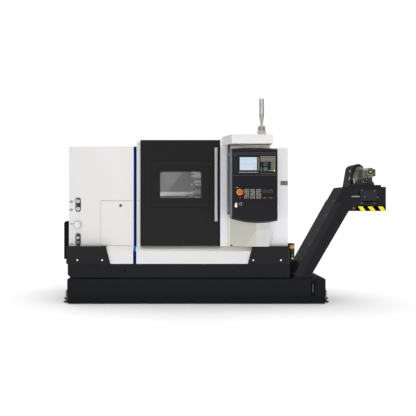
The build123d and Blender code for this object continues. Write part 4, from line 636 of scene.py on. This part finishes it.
dress("red_moulding", "estop_button")
dress("switch_yellow", "main_switch")
dress("machine_casting", "bed_casting", "headstock", "carriage", "cross_slide", "tailstock")
dress("ground_steel", "door_rail", "rail_runners", "spindle", "guide_rails", "feed_screw", "tailstock_quill",
      "hinge_belt", "conveyor_shaft")
dress("chuck_steel", "chuck_body", "jaw_1", "jaw_2", "jaw_3")
dress("cover_sheet", "way_cover_mid")
dress("liner_sheet", "work_liner")
dress("turret_steel", "turret_disc")
dress("tool_steel", "tool_holders")
dress("motor_casting", "conveyor_gearmotor")


# Operator panel: colours of the printed faces


def printed(name, ground, roughness, patches, discs=(), before=FAR):
    """A printed face on a dark ground: patches (x0, x1, z0, z1, colour) where y is less than before,
    and discs (x, z, radius, y0, colour) where y is less than y0."""
    f = Finish(name, Specular_IOR_Level=0.15)
    x, y, z = f.axes()
    fine = f.noise(1500.0)
    tone = f.mix(fine, shade(ground, 0.9), shade(ground, 1.1))
    for x0, x1, z0, z1, colour in patches:
        tone = f.mix(x.between(x0, x1) * z.between(z0, z1) * (y < before), tone, colour)
    for cx, cz, radius, y0, colour in discs:
        away = (x - cx) * (x - cx) + (z - cz) * (z - cz)
        tone = f.mix((away < radius * radius) * (y < y0), tone, colour)
    f.feed(Base_Color=tone, Roughness=roughness + (fine - 0.5) * 0.1)
    f.bump(fine, 0.00003)


stop_x, stop_z = middle(stop_low, stop_high)
panel_x0 = display_low.x - 7 * MM
pad_x = panel_x0 + 337 * MM
screen_x0 = panel_x0 + 75 * MM
screen_x1 = screen_x0 + 176 * MM
screen_z0 = display_low.z + 37 * MM
screen_z1 = screen_z0 + 132 * MM
KEY_BEIGE = (0.25, 0.215, 0.185)
KEY_GREY = (0.085, 0.092, 0.095)
KEY_TEAL = (0.085, 0.165, 0.165)

# Upper unit's face
top_line = (panel_x0, display_high.x, display_high.z - 0.008, display_high.z + 0.001, (0.065, 0.058, 0.060))
teal_strip = (panel_x0 + 0.012, panel_x0 + 0.046, display_high.z - 0.024, display_high.z - 0.018,
              (0.02, 0.085, 0.085))
dark_field = (panel_x0 + 0.013, panel_x0 + 0.046, screen_z0, screen_z1 - 0.02, (0.012, 0.020, 0.020))
foot_line = (pad_x - 0.055, display_high.x - 0.006, display_low.z + 0.001, display_low.z + 0.006,
             (0.10, 0.105, 0.105))
printed("display_face", (0.006, 0.012, 0.0125), 0.4, [top_line, teal_strip, dark_field, foot_line])

# Upper unit's keys: soft keys under and beside the screen, and the entry pad's groups
top_keys = (pad_x - 0.06, display_high.x, display_low.z + 0.108, display_high.z, KEY_BEIGE)
right_keys = (display_high.x - 0.058, display_high.x, display_low.z + 0.05, display_high.z, KEY_BEIGE)
soft_keys = (panel_x0, screen_x1 + 0.012, display_low.z, screen_z0 - 0.006, (0.50, 0.49, 0.46))
side_keys = (screen_x1 + 0.010, screen_x1 + 0.026, screen_z0 - 0.01, screen_z1 + 0.01, (0.34, 0.32, 0.28))
pad_keys = (pad_x - 0.022, pad_x + 0.022, display_low.z + 0.078, display_low.z + 0.127, KEY_GREY)
cursor_keys = (pad_x - 0.024, pad_x + 0.024, display_low.z + 0.02, display_low.z + 0.072, KEY_TEAL)
small_keys = (pad_x + 0.036, display_high.x - 0.034, display_low.z + 0.02, display_low.z + 0.038,
              (0.13, 0.13, 0.12))
yellow_spot = (panel_x0 + 0.420, display_low.z + 0.029, 0.012, display_front + 0.001, (0.62, 0.56, 0.02))
printed("entry_key_print", (0.20, 0.19, 0.175), 0.5,
        [top_keys, right_keys, soft_keys, side_keys, pad_keys, cursor_keys, small_keys], [yellow_spot])

# Lower unit: three key blocks, a ring under the stop button and a row of coloured buttons.
# Places are in millimetres from the panel's left edge and the unit's foot
BLOCK_HALF, KEY_HALF, BUTTON_HALF, BUTTON_RISE = 25 * MM, 6.5 * MM, 7.2 * MM, 7.5
BLOCK_BEIGE = (0.26, 0.242, 0.226)
RED, GREEN = (0.42, 0.028, 0.022), (0.02, 0.24, 0.075)
DULL_RED, DULL = (0.12, 0.02, 0.02), (0.05, 0.05, 0.05)
SINGLE_KEYS = ((136, 128, (0.26, 0.245, 0.22)), (205, 70, (0.34, 0.33, 0.31)), (222, 87, (0.30, 0.29, 0.27)),
               (250, 103, (0.32, 0.30, 0.27)), (284, 87, (0.04, 0.04, 0.042)), (205, 46, (0.03, 0.03, 0.03)),
               (188, 87, DULL), (267, 46, DULL), (128, 70, DULL))
BUTTONS = ((81, RED, 0), (165, GREEN, 5), (150, RED, 5), (318, RED, 0), (334, GREEN, 0), (376, RED, 0),
           (392, GREEN, 0), (415, DULL_RED, 0))
button_z = control_low.z + 33 * MM
key_patches = []
for across in (145, 205, 267):
    x = panel_x0 + across * MM
    key_patches.append((x - BLOCK_HALF, x + BLOCK_HALF, control_low.z + 20 * MM, control_high.z - 10 * MM,
                        BLOCK_BEIGE))
for across, rise, colour in SINGLE_KEYS:
    x, z = panel_x0 + across * MM, control_low.z + rise * MM
    key_patches.append((x - KEY_HALF, x + KEY_HALF, z - KEY_HALF, z + KEY_HALF, colour))
for across, colour, taller in BUTTONS:
    x = panel_x0 + across * MM
    key_patches.append((x - BUTTON_HALF, x + BUTTON_HALF, button_z - BUTTON_RISE * MM,
                        button_z + (BUTTON_RISE + taller) * MM, colour))
stop_ring = (stop_x, stop_z, 0.0325, control_low.y + 0.0045, (0.90, 0.64, 0.010))
printed("control_print", (0.0075, 0.0085, 0.0115), 0.5, key_patches, [stop_ring], display_front - 0.6 * MM)
dress("display_face", "display_unit")
dress("entry_key_print", "entry_keys")
dress("control_print", "control_unit")


def screen_finish():
    """A lit screen: pale blue-white with ruled lines, two head bars, a side box and a paler foot."""
    f = Finish("screen_lit", Emission_Strength=0.9, Specular_IOR_Level=0.3)
    x, y, z = f.axes()
    cloud = f.noise(14.0)
    tone = f.mix(cloud, (0.60, 0.72, 0.86), (0.74, 0.80, 0.88))
    line_pitch, line_width = 11 * MM, 1.4 * MM
    ruled = z.math("MODULO", line_pitch).between(0.0, line_width)
    tone = f.mix(ruled * 0.25, tone, (0.30, 0.48, 0.68))
    head_bars = ((screen_z0 + 0.056, screen_z0 + 0.066, 0.5), (screen_z1 - 0.026, screen_z1 - 0.018, 0.35))
    for low_z, high_z, share in head_bars:
        tone = f.mix(z.between(low_z, high_z) * share, tone, (0.33, 0.58, 0.80))
    side_box = (x > screen_x1 - 0.040) * (z < screen_z0 + 0.040)
    tone = f.mix(side_box * 0.4, tone, (0.30, 0.52, 0.82))
    foot = z < screen_z0 + 0.012
    tone = f.mix(foot * 0.5, tone, (0.80, 0.84, 0.88))
    f.feed(Base_Color=(0.02, 0.02, 0.02), Emission_Color=tone, Roughness=0.3 + cloud * 0.05)


screen_finish()
screen_middle = ((screen_x0 + screen_x1) / 2, (screen_z0 + screen_z1) / 2)
plates("screen", [shifted(box_outline(0.174, 0.130), *screen_middle)], display_front + 2 * MM, 0.6 * MM,
       "screen_lit", "panel")


def rim_bars(outer, inner):
    """The four bars of a rectangular rim, from its outer and inner half sizes."""
    (a, b), (c, d) = outer, inner
    return [[(-a, -b), (a, -b), (c, -d), (-c, -d)], [(a, -b), (a, b), (c, d), (c, -d)],
            [(a, b), (-a, b), (-c, d), (c, d)], [(-a, b), (-a, -b), (-c, -d), (-c, d)]]


plates("screen_rim", [shifted(side, *screen_middle) for side in rim_bars((0.094, 0.071), (0.0885, 0.0665))],
       display_front, 2.5 * MM, "black_moulding", "panel")

# Thin lines above and below the display unit
LINE_HALF = 2 * MM
for label, z, finish in (("upper", display_high.z + 12 * MM, "dark_line"),
                         ("lower", display_low.z - 14 * MM, "red_line")):
    plates("panel_line_" + label, [bar(display_low.x, display_high.x, z - LINE_HALF, z + LINE_HALF)],
           panel_low.y, 0.8 * MM, finish, "panel")

# Bare tag over the stop button, and the key's tag with its small second key
plates("stop_tag", [tile(24, 7, stop_x / MM - 27, stop_z / MM + 46, 1)], control_low.y + 5 * MM, 0.8 * MM,
       "bare_grey", "panel")
plates("key_tag", [tile(26, 30, 132, 1026, 9), tile(14, 20, 132, 1048, 4)], panel_front - 1.6 * MM, 3 * MM,
       "white_moulding", "panel", MM)
# Its parts: width and height in millimetres, place (x, z), and which way its width runs
SECOND_KEY = ((4, 34, 0.168, 1.040, 0.82, 0.57), (26, 5, 0.181, 1.056, 1, 0.12),
              (5, 26, 0.190, 1.042, 1, 0.1))
second_key = bmesh.new()
for width, height, x, z, run, rise in SECOND_KEY:
    prism(second_key, tile(width, height, 0, 0, 1), (x, panel_front, z), (run, 0, rise), (-rise, 0, run),
          4 * MM, 0.6 * MM)
new_piece("second_key", "bare_grey", "panel", second_key)

# Keys at the display's lower right corner
CORNER_KEYS_Z = 1384
turned_pieces("yellow_key", [(0.520, display_front, CORNER_KEYS_Z * MM)],
              [(0, 0.010), (0.002, 0.010), (0.0035, 0.008), (0.0035, 0)],
              TO_FRONT, "bright_yellow", "panel", 28)
plates("lower_keys", [tile(13, 10, x, CORNER_KEYS_Z, 1) for x in (469, 485, 501)], display_front, 1.5 * MM,
       "bare_grey", "panel", 0.3 * MM)


def dial_marks(shape, centre, radius, first, step, length, widths, height):
    """Marks round a dial, one for each width, from the first angle on, in steps of degrees."""
    x, y, z = centre
    for i, width in enumerate(widths):
        turn = math.radians(first + step * i)
        outwards = (math.cos(turn), 0, math.sin(turn))
        along = (-math.sin(turn), 0, math.cos(turn))
        spot = (x + radius * outwards[0], y, z + radius * outwards[2])
        prism(shape, box_outline(length, width), spot, outwards, along, height)


knob_marks = bmesh.new()
for knob in ("feed_knob", "speed_knob"):
    knob_x, knob_z = middle(*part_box(knob))
    dial_marks(knob_marks, (knob_x, display_front, knob_z), 22.5 * MM, -40, 32.5, 6 * MM, [2.2 * MM] * 9,
               0.4 * MM)
new_piece("knob_marks", "bare_grey", "panel", knob_marks)

# Pressure gauge: its white dial, ring and scale
gauge_x, gauge_z = middle(gauge_low, gauge_high)
DIAL_RADIUS, DIAL_THICKNESS = 33.5 * MM, 0.6 * MM
RING_PROFILE = [(0, 0.0425), (0.022, 0.0425), (0.0275, 0.0400), (0.0275, 0.0355), (0.0235, 0.0342),
                (0.0235, 0.0392), (0, 0.0392)]
turned_pieces("gauge_dial", [(gauge_x, gauge_low.y + 4.8 * MM, gauge_z)],
              [(0, DIAL_RADIUS), (DIAL_THICKNESS, DIAL_RADIUS), (DIAL_THICKNESS, 0)],
              TO_FRONT, "white_moulding", "machine", 40)
turned_pieces("gauge_ring", [(gauge_x, cover_y, gauge_z)], RING_PROFILE, TO_FRONT, "ground_steel", "machine",
              48, True)
ticks = bmesh.new()
tick_widths = [1.4 * MM if i % 3 else 2.4 * MM for i in range(13)]
dial_marks(ticks, (gauge_x, gauge_low.y + 4.2 * MM, gauge_z), 27.5 * MM, -45, 22.5, 7.5 * MM, tick_widths,
           0.3 * MM)
new_piece("gauge_ticks", "black_moulding", "machine", ticks)

# Service ports: fittings with a socket, as shares of their length and radius, and frames round the plates
FITTING = ((0, 1.0), (0.62, 1.0), (0.80, 0.86), (0.80, 0.50), (0.62, 0.42), (0.62, 0))
FITTING_LENGTH, FITTING_STAND = 19 * MM, 4 * MM


def fittings(name, spots, radius, finish):
    """Round caps over the ports' fittings, each with a socket in its face."""
    profile = [(along * FITTING_LENGTH, share * radius * MM) for along, share in FITTING]
    turned_pieces(name, [(x * MM, cover_y - FITTING_STAND, z * MM) for x, z in spots], profile, TO_FRONT,
                  finish, "machine", 32)


fittings("fittings_upper", [(-1516, 1075), (-1516, 994)], 18, "white_moulding")
fittings("fitting_lower_white", [(-1517, 688)], 13.5, "white_moulding")
fittings("fitting_lower_grey", [(-1517, 640)], 13.5, "bare_grey")
port_frames = bmesh.new()
for frame_middle, frame_height in ((1038, 160), (668, 148)):
    prism(port_frames, tile(64, frame_height, -1519, frame_middle, 29), (0, cover_y, 0), SIDEWAYS, UP,
          1.5 * MM)
new_piece("port_frames", "port_frame_grey", "machine", port_frames)

# Left cover: small bare plates and the hatch lock's rim
plates("bare_plates_left", [tile(33, 26, -1590, 1070, 2), tile(33, 26, -1590, 984, 2),
                            tile(26, 12, -1588, 834, 1), tile(28, 14, -1585, 622, 1)],
       cover_y, 1.2 * MM, "bare_grey", "machine")
LOCK_RIM = [(0, 0.0195), (0.0022, 0.0190), (0.0028, 0.0170), (0.0028, 0.0148), (0, 0.0146)]
turned_pieces("hatch_lock_rim", [(-1.0665, cover_y, 1.029)], LOCK_RIM, TO_FRONT, "ground_steel", "machine",
              36, True)

# Door: its lock
LOCK_PROFILE = [(0, 0.011), (0.003, 0.011), (0.0045, 0.009), (0.0045, 0.003), (0.003, 0.003), (0.003, 0)]
turned_pieces("door_lock", [(-0.120, door_low.y, 1.466)], LOCK_PROFILE, TO_FRONT, "black_moulding", "door",
              24)

# Hatch: the seam down its left side, and two short ones over its top
SEAM_HALF, HATCH_FOOT, HATCH_TOP, SHORT_SEAM_TOP = 1.2 * MM, 0.602, 1.080, 1.0815
seam_x = hatch_low.x + 8.5 * MM
plates("hatch_seams", [bar(seam_x - SEAM_HALF, seam_x + SEAM_HALF, HATCH_FOOT, HATCH_TOP),
                       bar(seam_x, -0.9275, HATCH_TOP - MM, SHORT_SEAM_TOP),
                       bar(-0.8985, -0.8540, HATCH_TOP - MM, SHORT_SEAM_TOP)],
       cover_y, 0.3 * MM, "seam_grey", "machine")

# Blue stripe: the film laps a little over the cover on its right
laps = bmesh.new()
for lap, z0, z1, y in ((3.6 * MM, apron_high.z + MM, 1.6545, cover_y),
                       (5.5 * MM, apron_low.z + MM, band_top - 0.5 * MM, apron_low.y)):
    prism(laps, bar(stripe_high.x - MM, stripe_high.x + lap, z0, z1), (0, y, 0), SIDEWAYS, UP, 0.4 * MM)
new_piece("stripe_laps", "stripe_film", "machine", laps)


def rounded_band(shape, outer, inner, at, y, thickness):
    """A flat band between two outlines with the same count of points."""
    rings = []
    for outline, depth in ((outer, 0.0), (outer, thickness), (inner, thickness), (inner, 0.0)):
        rings.append([shape.verts.new((at[0] + a, y - depth, at[1] + b)) for a, b in outline])
    for first, second in zip(rings, rings[1:] + rings[:1]):
        for i in range(len(first)):
            j = (i + 1) % len(first)
            shape.faces.new((first[i], first[j], second[j], second[i]))


# Window: a rubber packing round the glass
packing = bmesh.new()
rounded_band(packing, box_outline(0.4400, 0.2850, 0.022, 6), box_outline(0.4290, 0.2740, 0.018, 6),
             middle(glass_low, glass_high), glass_low.y, 5.5 * MM)
new_piece("window_packing", "black_moulding", "door", packing)

# Small dark catch at the column's foot, and the screws on column and cover
COLUMN_FOOT_OUT = (0, -0.953, 0.305)
plates("column_catch", [tile(28, 14, 112, 608, 3)], right_low.y, 30 * MM, "black_moulding", "machine",
       3 * MM)
dome_screws("cover_screws", [(0.549, right_low.y, z) for z in (0.678, 0.742)], TO_FRONT, 7 * MM)
dome_screws("column_foot_screws", [(0.454, -0.7274, 0.748), (0.454, -0.7080, 0.688)], COLUMN_FOOT_OUT, 7 * MM)

# Label plate on the right cover, left blank
plates("blank_label", [tile(77, 46, 668.5, 1267, 2)], right_low.y, 1.2 * MM, "dark_taupe", "machine",
       0.4 * MM)

# Conveyor head: black ground strip with leaning yellow marks, and one bare patch beside it
GROUND_X, GROUND_TOP = (1.415, 1.7255), 55 * MM
MARK_LEFTS, MARK_FOOT, MARK_TOP = (1.430, 1.534, 1.641), 1.5 * MM, 48 * MM
MARK_WIDTH, LEAN = 50 * MM, 34 * MM
plates("hazard_ground", [bar(*GROUND_X, head_bottom + MM, head_bottom + GROUND_TOP)], head_front, 0.4 * MM,
       "seam_black", "machine")
marks = []
for left in MARK_LEFTS:
    marks.append([(left + LEAN, head_bottom + MARK_FOOT), (left + LEAN + MARK_WIDTH, head_bottom + MARK_FOOT),
                  (left + MARK_WIDTH, head_bottom + MARK_TOP), (left, head_bottom + MARK_TOP)])
plates("hazard_marks", marks, head_front - 0.4 * MM, 0.4 * MM, "hazard_yellow", "machine")
plates("bare_patch", [tile(30, 22, 1389, 1001, 2)], head_front, 0.6 * MM, "orange_moulding", "machine")

# Conveyor head's access plate: its screws, as (x, z) in millimetres, and the dark seams beside it
ACCESS_SCREWS = ((1474, 1188), (1607, 1184), (1503, 1121), (1637, 1116), (1470, 1056), (1605, 1052))
PLATE_FOOT, PLATE_TOP, PLATE_THICKNESS = 1070, 1190, 3 * MM
screw_spots = []
for x, z in ACCESS_SCREWS:
    seat = PLATE_THICKNESS if PLATE_FOOT < z < PLATE_TOP else 0.0
    screw_spots.append((x * MM, head_front - seat, z * MM))
dome_screws("access_screws", screw_spots, TO_FRONT, 8 * MM, "screw_grey")
plates("access_seams", [bar(1.4440, 1.4525, 1.135, 1.178), bar(1.4680, 1.6300, 1.0685, 1.0780)],
       facing("conveyor_covers", 1.55, 1.10).y, 0.6 * MM, "seam_black", "machine")

# Dark sheet that closes the gap between the right cover and the neck
INFILL = [(0.7106, 0.2725), (0.7435, 0.2725), (0.8340, 0.4345), (0.7106, 0.4345)]
plates("neck_infill", [INFILL], -0.45, 3 * MM, "conveyor_coat", "machine")

# Neck lid: six screws down its upper face, near the front edge
NECK_FOOT, NECK_TOP = (0.7726, 0.311), 1.225
LID_SCREW_TOP, LID_SCREW_STEP = 1.077, 0.1543
slope_run = (head_x0 - NECK_FOOT[0]) / (NECK_TOP - NECK_FOOT[1])
lid_out = Vector((-1, 0, slope_run)).normalized()
lid_screws = []
for i in range(6):
    z = LID_SCREW_TOP - i * LID_SCREW_STEP
    on_slope = Vector((head_x0 - (NECK_TOP - z) * slope_run, head_front + 68 * MM, z))
    lid_screws.append(on_slope + lid_out * 0.005)
dome_screws("lid_screws", lid_screws, lid_out, 9.5 * MM, "screw_grey")

# Chain guard: three bolts on its left flank, the lower two nearer to the front
flank_out = Vector((-0.9858, 0, 0.1676))
along_flank = Vector((0.1676, 0, 0.9858))
flank_foot = Vector((head_x0 + 97 * MM, -0.43, NECK_TOP))
nearer = Vector((0, -0.036, 0))
dome_screws("guard_bolts", [flank_foot + along_flank * 0.178, flank_foot + along_flank * 0.105 + nearer,
                            flank_foot + along_flank * 0.088 + nearer], flank_out, 9.5 * MM)

# Motor: yellow plug in a dark ring on the end bell
BELL_X, BELL_Z, PLUG_RADIUS = 1.5695, 1.385, 10.5 * MM
BELL_RING = [(0, 0.0265), (0.0030, 0.0265), (0.0030, PLUG_RADIUS), (0, PLUG_RADIUS)]
BELL_PLUG = [(0, PLUG_RADIUS), (0.002, PLUG_RADIUS), (0.0035, 0.009), (0.0035, 0.004), (0.0025, 0.003),
             (0.0025, 0)]
turned_pieces("motor_ring", [(BELL_X, -0.634, BELL_Z)], BELL_RING, TO_FRONT, "black_moulding", "machine",
              40, True)
turned_pieces("motor_plug", [(BELL_X, -0.640, BELL_Z)], BELL_PLUG, TO_FRONT, "plug_yellow", "machine",
              32)

# Bolts on the gear case and the motor's base, where its faces meet a line from the front
MOTOR_BOLTS = ((1.5405, 1.307), (1.5356, 1.275), (1.497, 1.278), (1.4244, 1.307), (1.4244, 1.2845))
plates("motor_bracket", [bar(1.3965, 1.4035, 1.262, 1.312)], -0.625, 2 * MM, "bright_zinc", "machine",
       0.5 * MM)
dome_screws("motor_bolts", [facing("conveyor_gearmotor", x, z) for x, z in MOTOR_BOLTS], TO_FRONT, 6.5 * MM,
            "bare_grey")

# Main switch box: yellow plate round the switch, black grip, green lamp and yellow warning mark
SWITCH_PLATE = [(0.7385, 0.576), (0.7670, 0.576), (0.7670, 0.613), (0.7255, 0.613), (0.7255, 0.590)]
LAMP_DOME = [(0, 0.011), (0.004, 0.011), (0.008, 0.008), (0.009, 0)]
plates("switch_plate", [SWITCH_PLATE], switch_box_low.y, 1.2 * MM, "yellow_moulding", "machine")
plates("switch_grip", [tile(34, 30, 754, 548, 5)], switch_box_low.y, 14 * MM, "black_moulding", "machine",
       3 * MM)
turned_pieces("switch_lamp", [(0.751, switch_box_low.y, 0.510)], LAMP_DOME, TO_FRONT, "green_moulding",
              "machine", 28)
plates("warning_mark", [[(0.735, 0.463), (0.767, 0.463), (0.751, 0.491)]], switch_box_low.y, 0.8 * MM,
       "yellow_moulding", "machine")

# Signal lens: a pale lamp column inside the clear tube, greenish in its lowest ring, between two dark rods
# that are painted shade for the tube's dark sides
LAMP_RADIUS, ROD_RADIUS, ROD_AWAY = 10.5 * MM, 5 * MM, 17.2 * MM
lens_x, lens_y = (lens_low.x + lens_high.x) / 2, (lens_low.y + lens_high.y) / 2
for name, low_z, high_z in (("lamp_low", 0.001, 0.056), ("lamp_high", 0.056, 0.168)):
    turned_pieces(name, [(lens_x, lens_y, lens_low.z)], [(low_z, LAMP_RADIUS), (high_z, LAMP_RADIUS)], UP,
                  name, "machine", 24)
turned_pieces("edge_shade_rods", [(lens_x + side * ROD_AWAY, lens_y, lens_low.z) for side in (-1, 1)],
              [(0.001, ROD_RADIUS), (0.166, ROD_RADIUS)], UP, "edge_shade_brown", "machine", 16)

# Screws on the left end wall and along the roof
end_spots = [(left_low.x, left_low.y + 0.05 + i * 0.3, left_high.z - 0.05) for i in range(5)]
end_spots += [(left_low.x, left_high.y - 0.05, left_low.z + 0.1 + i * 0.27) for i in range(4)]
dome_screws("end_screws", end_spots, -SIDEWAYS, 8 * MM)
dome_screws("roof_screws", [(x, roof_low.y + 0.04 + i * 0.28, roof_high.z)
                            for x in (roof_low.x + 0.03, roof_high.x - 0.03) for i in range(5)], UP, 8 * MM)


# Stage, light and camera

# The camera stands at the photograph's place, level, and looks along +Y
CAMERA_X, CAMERA_Y, CAMERA_Z = -0.4255, -6.985, 1.024
FOCAL_PIXELS = 603.0
FRAME_PIXELS = 416.0
SHIFT_X_PIXELS, SHIFT_Y_PIXELS = 27.0, -2.0
SENSOR = 36.0
# What the air gives as light, and how bright the camera sees it
AIR_FILL, AIR_SEEN = 0.13, 1.02


def floor():
    """A wide sheet of pale paper, half a millimetre under the feet."""
    mesh = bpy.data.meshes.new("studio_floor")
    half, level = 60.0, -0.5 * MM
    corners = [(x, y, level) for x, y in box_outline(2 * half, 2 * half)]
    mesh.from_pydata(corners, [], [(0, 1, 2, 3)])
    made = bpy.data.objects.new("studio_floor", mesh)
    bpy.context.scene.collection.objects.link(made)
    f = Finish("floor_paper", Specular_IOR_Level=0.0)
    f.feed(Base_Color=f.mix(f.noise(0.6), (0.93, 0.93, 0.93), (0.95, 0.95, 0.95)), Roughness=0.8)
    mesh.materials.append(f.material)


def area_light(name, place, aim, width, height, power, roll=0.0):
    """A rectangular light at a place, aimed at a point and hidden from the camera."""
    data = bpy.data.lights.new(name, "AREA")
    data.shape = "RECTANGLE"
    data.size = width
    data.size_y = height
    data.energy = power
    made = bpy.data.objects.new(name, data)
    bpy.context.scene.collection.objects.link(made)
    made.location = place
    turn = (Vector(aim) - Vector(place)).to_track_quat("-Z", "Y")
    made.rotation_euler = (turn.to_matrix() @ Matrix.Rotation(roll, 3, "Z").to_3x3()).to_euler()
    made.visible_camera = False


def sun_light(name, towards, strength, spread):
    """A wide, soft far light that shines along a direction."""
    data = bpy.data.lights.new(name, "SUN")
    data.energy = strength
    data.angle = math.radians(spread)
    made = bpy.data.objects.new(name, data)
    bpy.context.scene.collection.objects.link(made)
    made.rotation_euler = Vector(towards).to_track_quat("-Z", "Y").to_euler()


def studio_air():
    """White to the camera, and a dimmer fill for the light it gives."""
    world = bpy.data.worlds.new("studio_air")
    bpy.context.scene.world = world
    world.use_nodes = True
    tree = world.node_tree
    ground = tree.nodes["Background"]
    ground.inputs["Color"].default_value = (1.0, 1.0, 1.0, 1.0)
    rays = tree.nodes.new("ShaderNodeLightPath")
    share = tree.nodes.new("ShaderNodeMapRange")
    share.inputs["To Min"].default_value = AIR_FILL
    share.inputs["To Max"].default_value = AIR_SEEN
    tree.links.new(rays.outputs["Is Camera Ray"], share.inputs["Value"])
    tree.links.new(share.outputs["Result"], ground.inputs["Strength"])


def window_softbox():
    """The softbox whose slanting edge shows in the door's window: its middle is worked out from where
    the camera sees that edge in the glass, and from the softbox's mirror image behind the glass."""
    size, depth, roll = 3.0, -9.0, math.radians(-37.7)
    edge_run, edge_rise = 0.792, 0.611
    glass_y, edge_x, edge_z = -0.640, glass_low.x + 83 * MM, glass_low.z + 71 * MM
    farther = (2 * glass_y - depth - CAMERA_Y) / (glass_y - CAMERA_Y)
    place = Vector((CAMERA_X + (edge_x - CAMERA_X) * farther - size / 2 * edge_run, depth,
                    CAMERA_Z + (edge_z - CAMERA_Z) * farther + size / 2 * edge_rise))
    area_light("window_softbox", place, place + Vector((0, -depth, 0)), size, size, 50, roll)


floor()
studio_air()
sun_light("overhead_sky", (0.0, -0.13, -1.0), 3.12, 96)
sun_light("front_sky", (0.06, 0.95, -0.22), 0.17, 40)
sun_light("left_sky", (0.85, 0.50, -0.20), 0.18, 50)
sun_light("right_sky", (-0.50, 0.85, -0.20), 0.18, 50)
window_softbox()
area_light("low_reflector", (0.3, -3.2, 0.12), (0.3, -0.8, 1.65), 4.0, 0.7, 22)
area_light("work_lamp", (-0.75, -0.40, 1.45), (-0.40, 0.3, 1.15), 0.5, 0.05, 6.0)

camera_data = bpy.data.cameras.new("camera")
camera_data.sensor_width = SENSOR
camera_data.lens = FOCAL_PIXELS / FRAME_PIXELS * SENSOR
camera_data.shift_x = SHIFT_X_PIXELS / FRAME_PIXELS
camera_data.shift_y = SHIFT_Y_PIXELS / FRAME_PIXELS
camera = bpy.data.objects.new("camera", camera_data)
bpy.context.scene.collection.objects.link(camera)
camera.location = (CAMERA_X, CAMERA_Y, CAMERA_Z)
camera.rotation_euler = (math.radians(90), 0, 0)
bpy.context.scene.camera = camera
bpy.context.scene.view_settings.view_transform = "Standard"
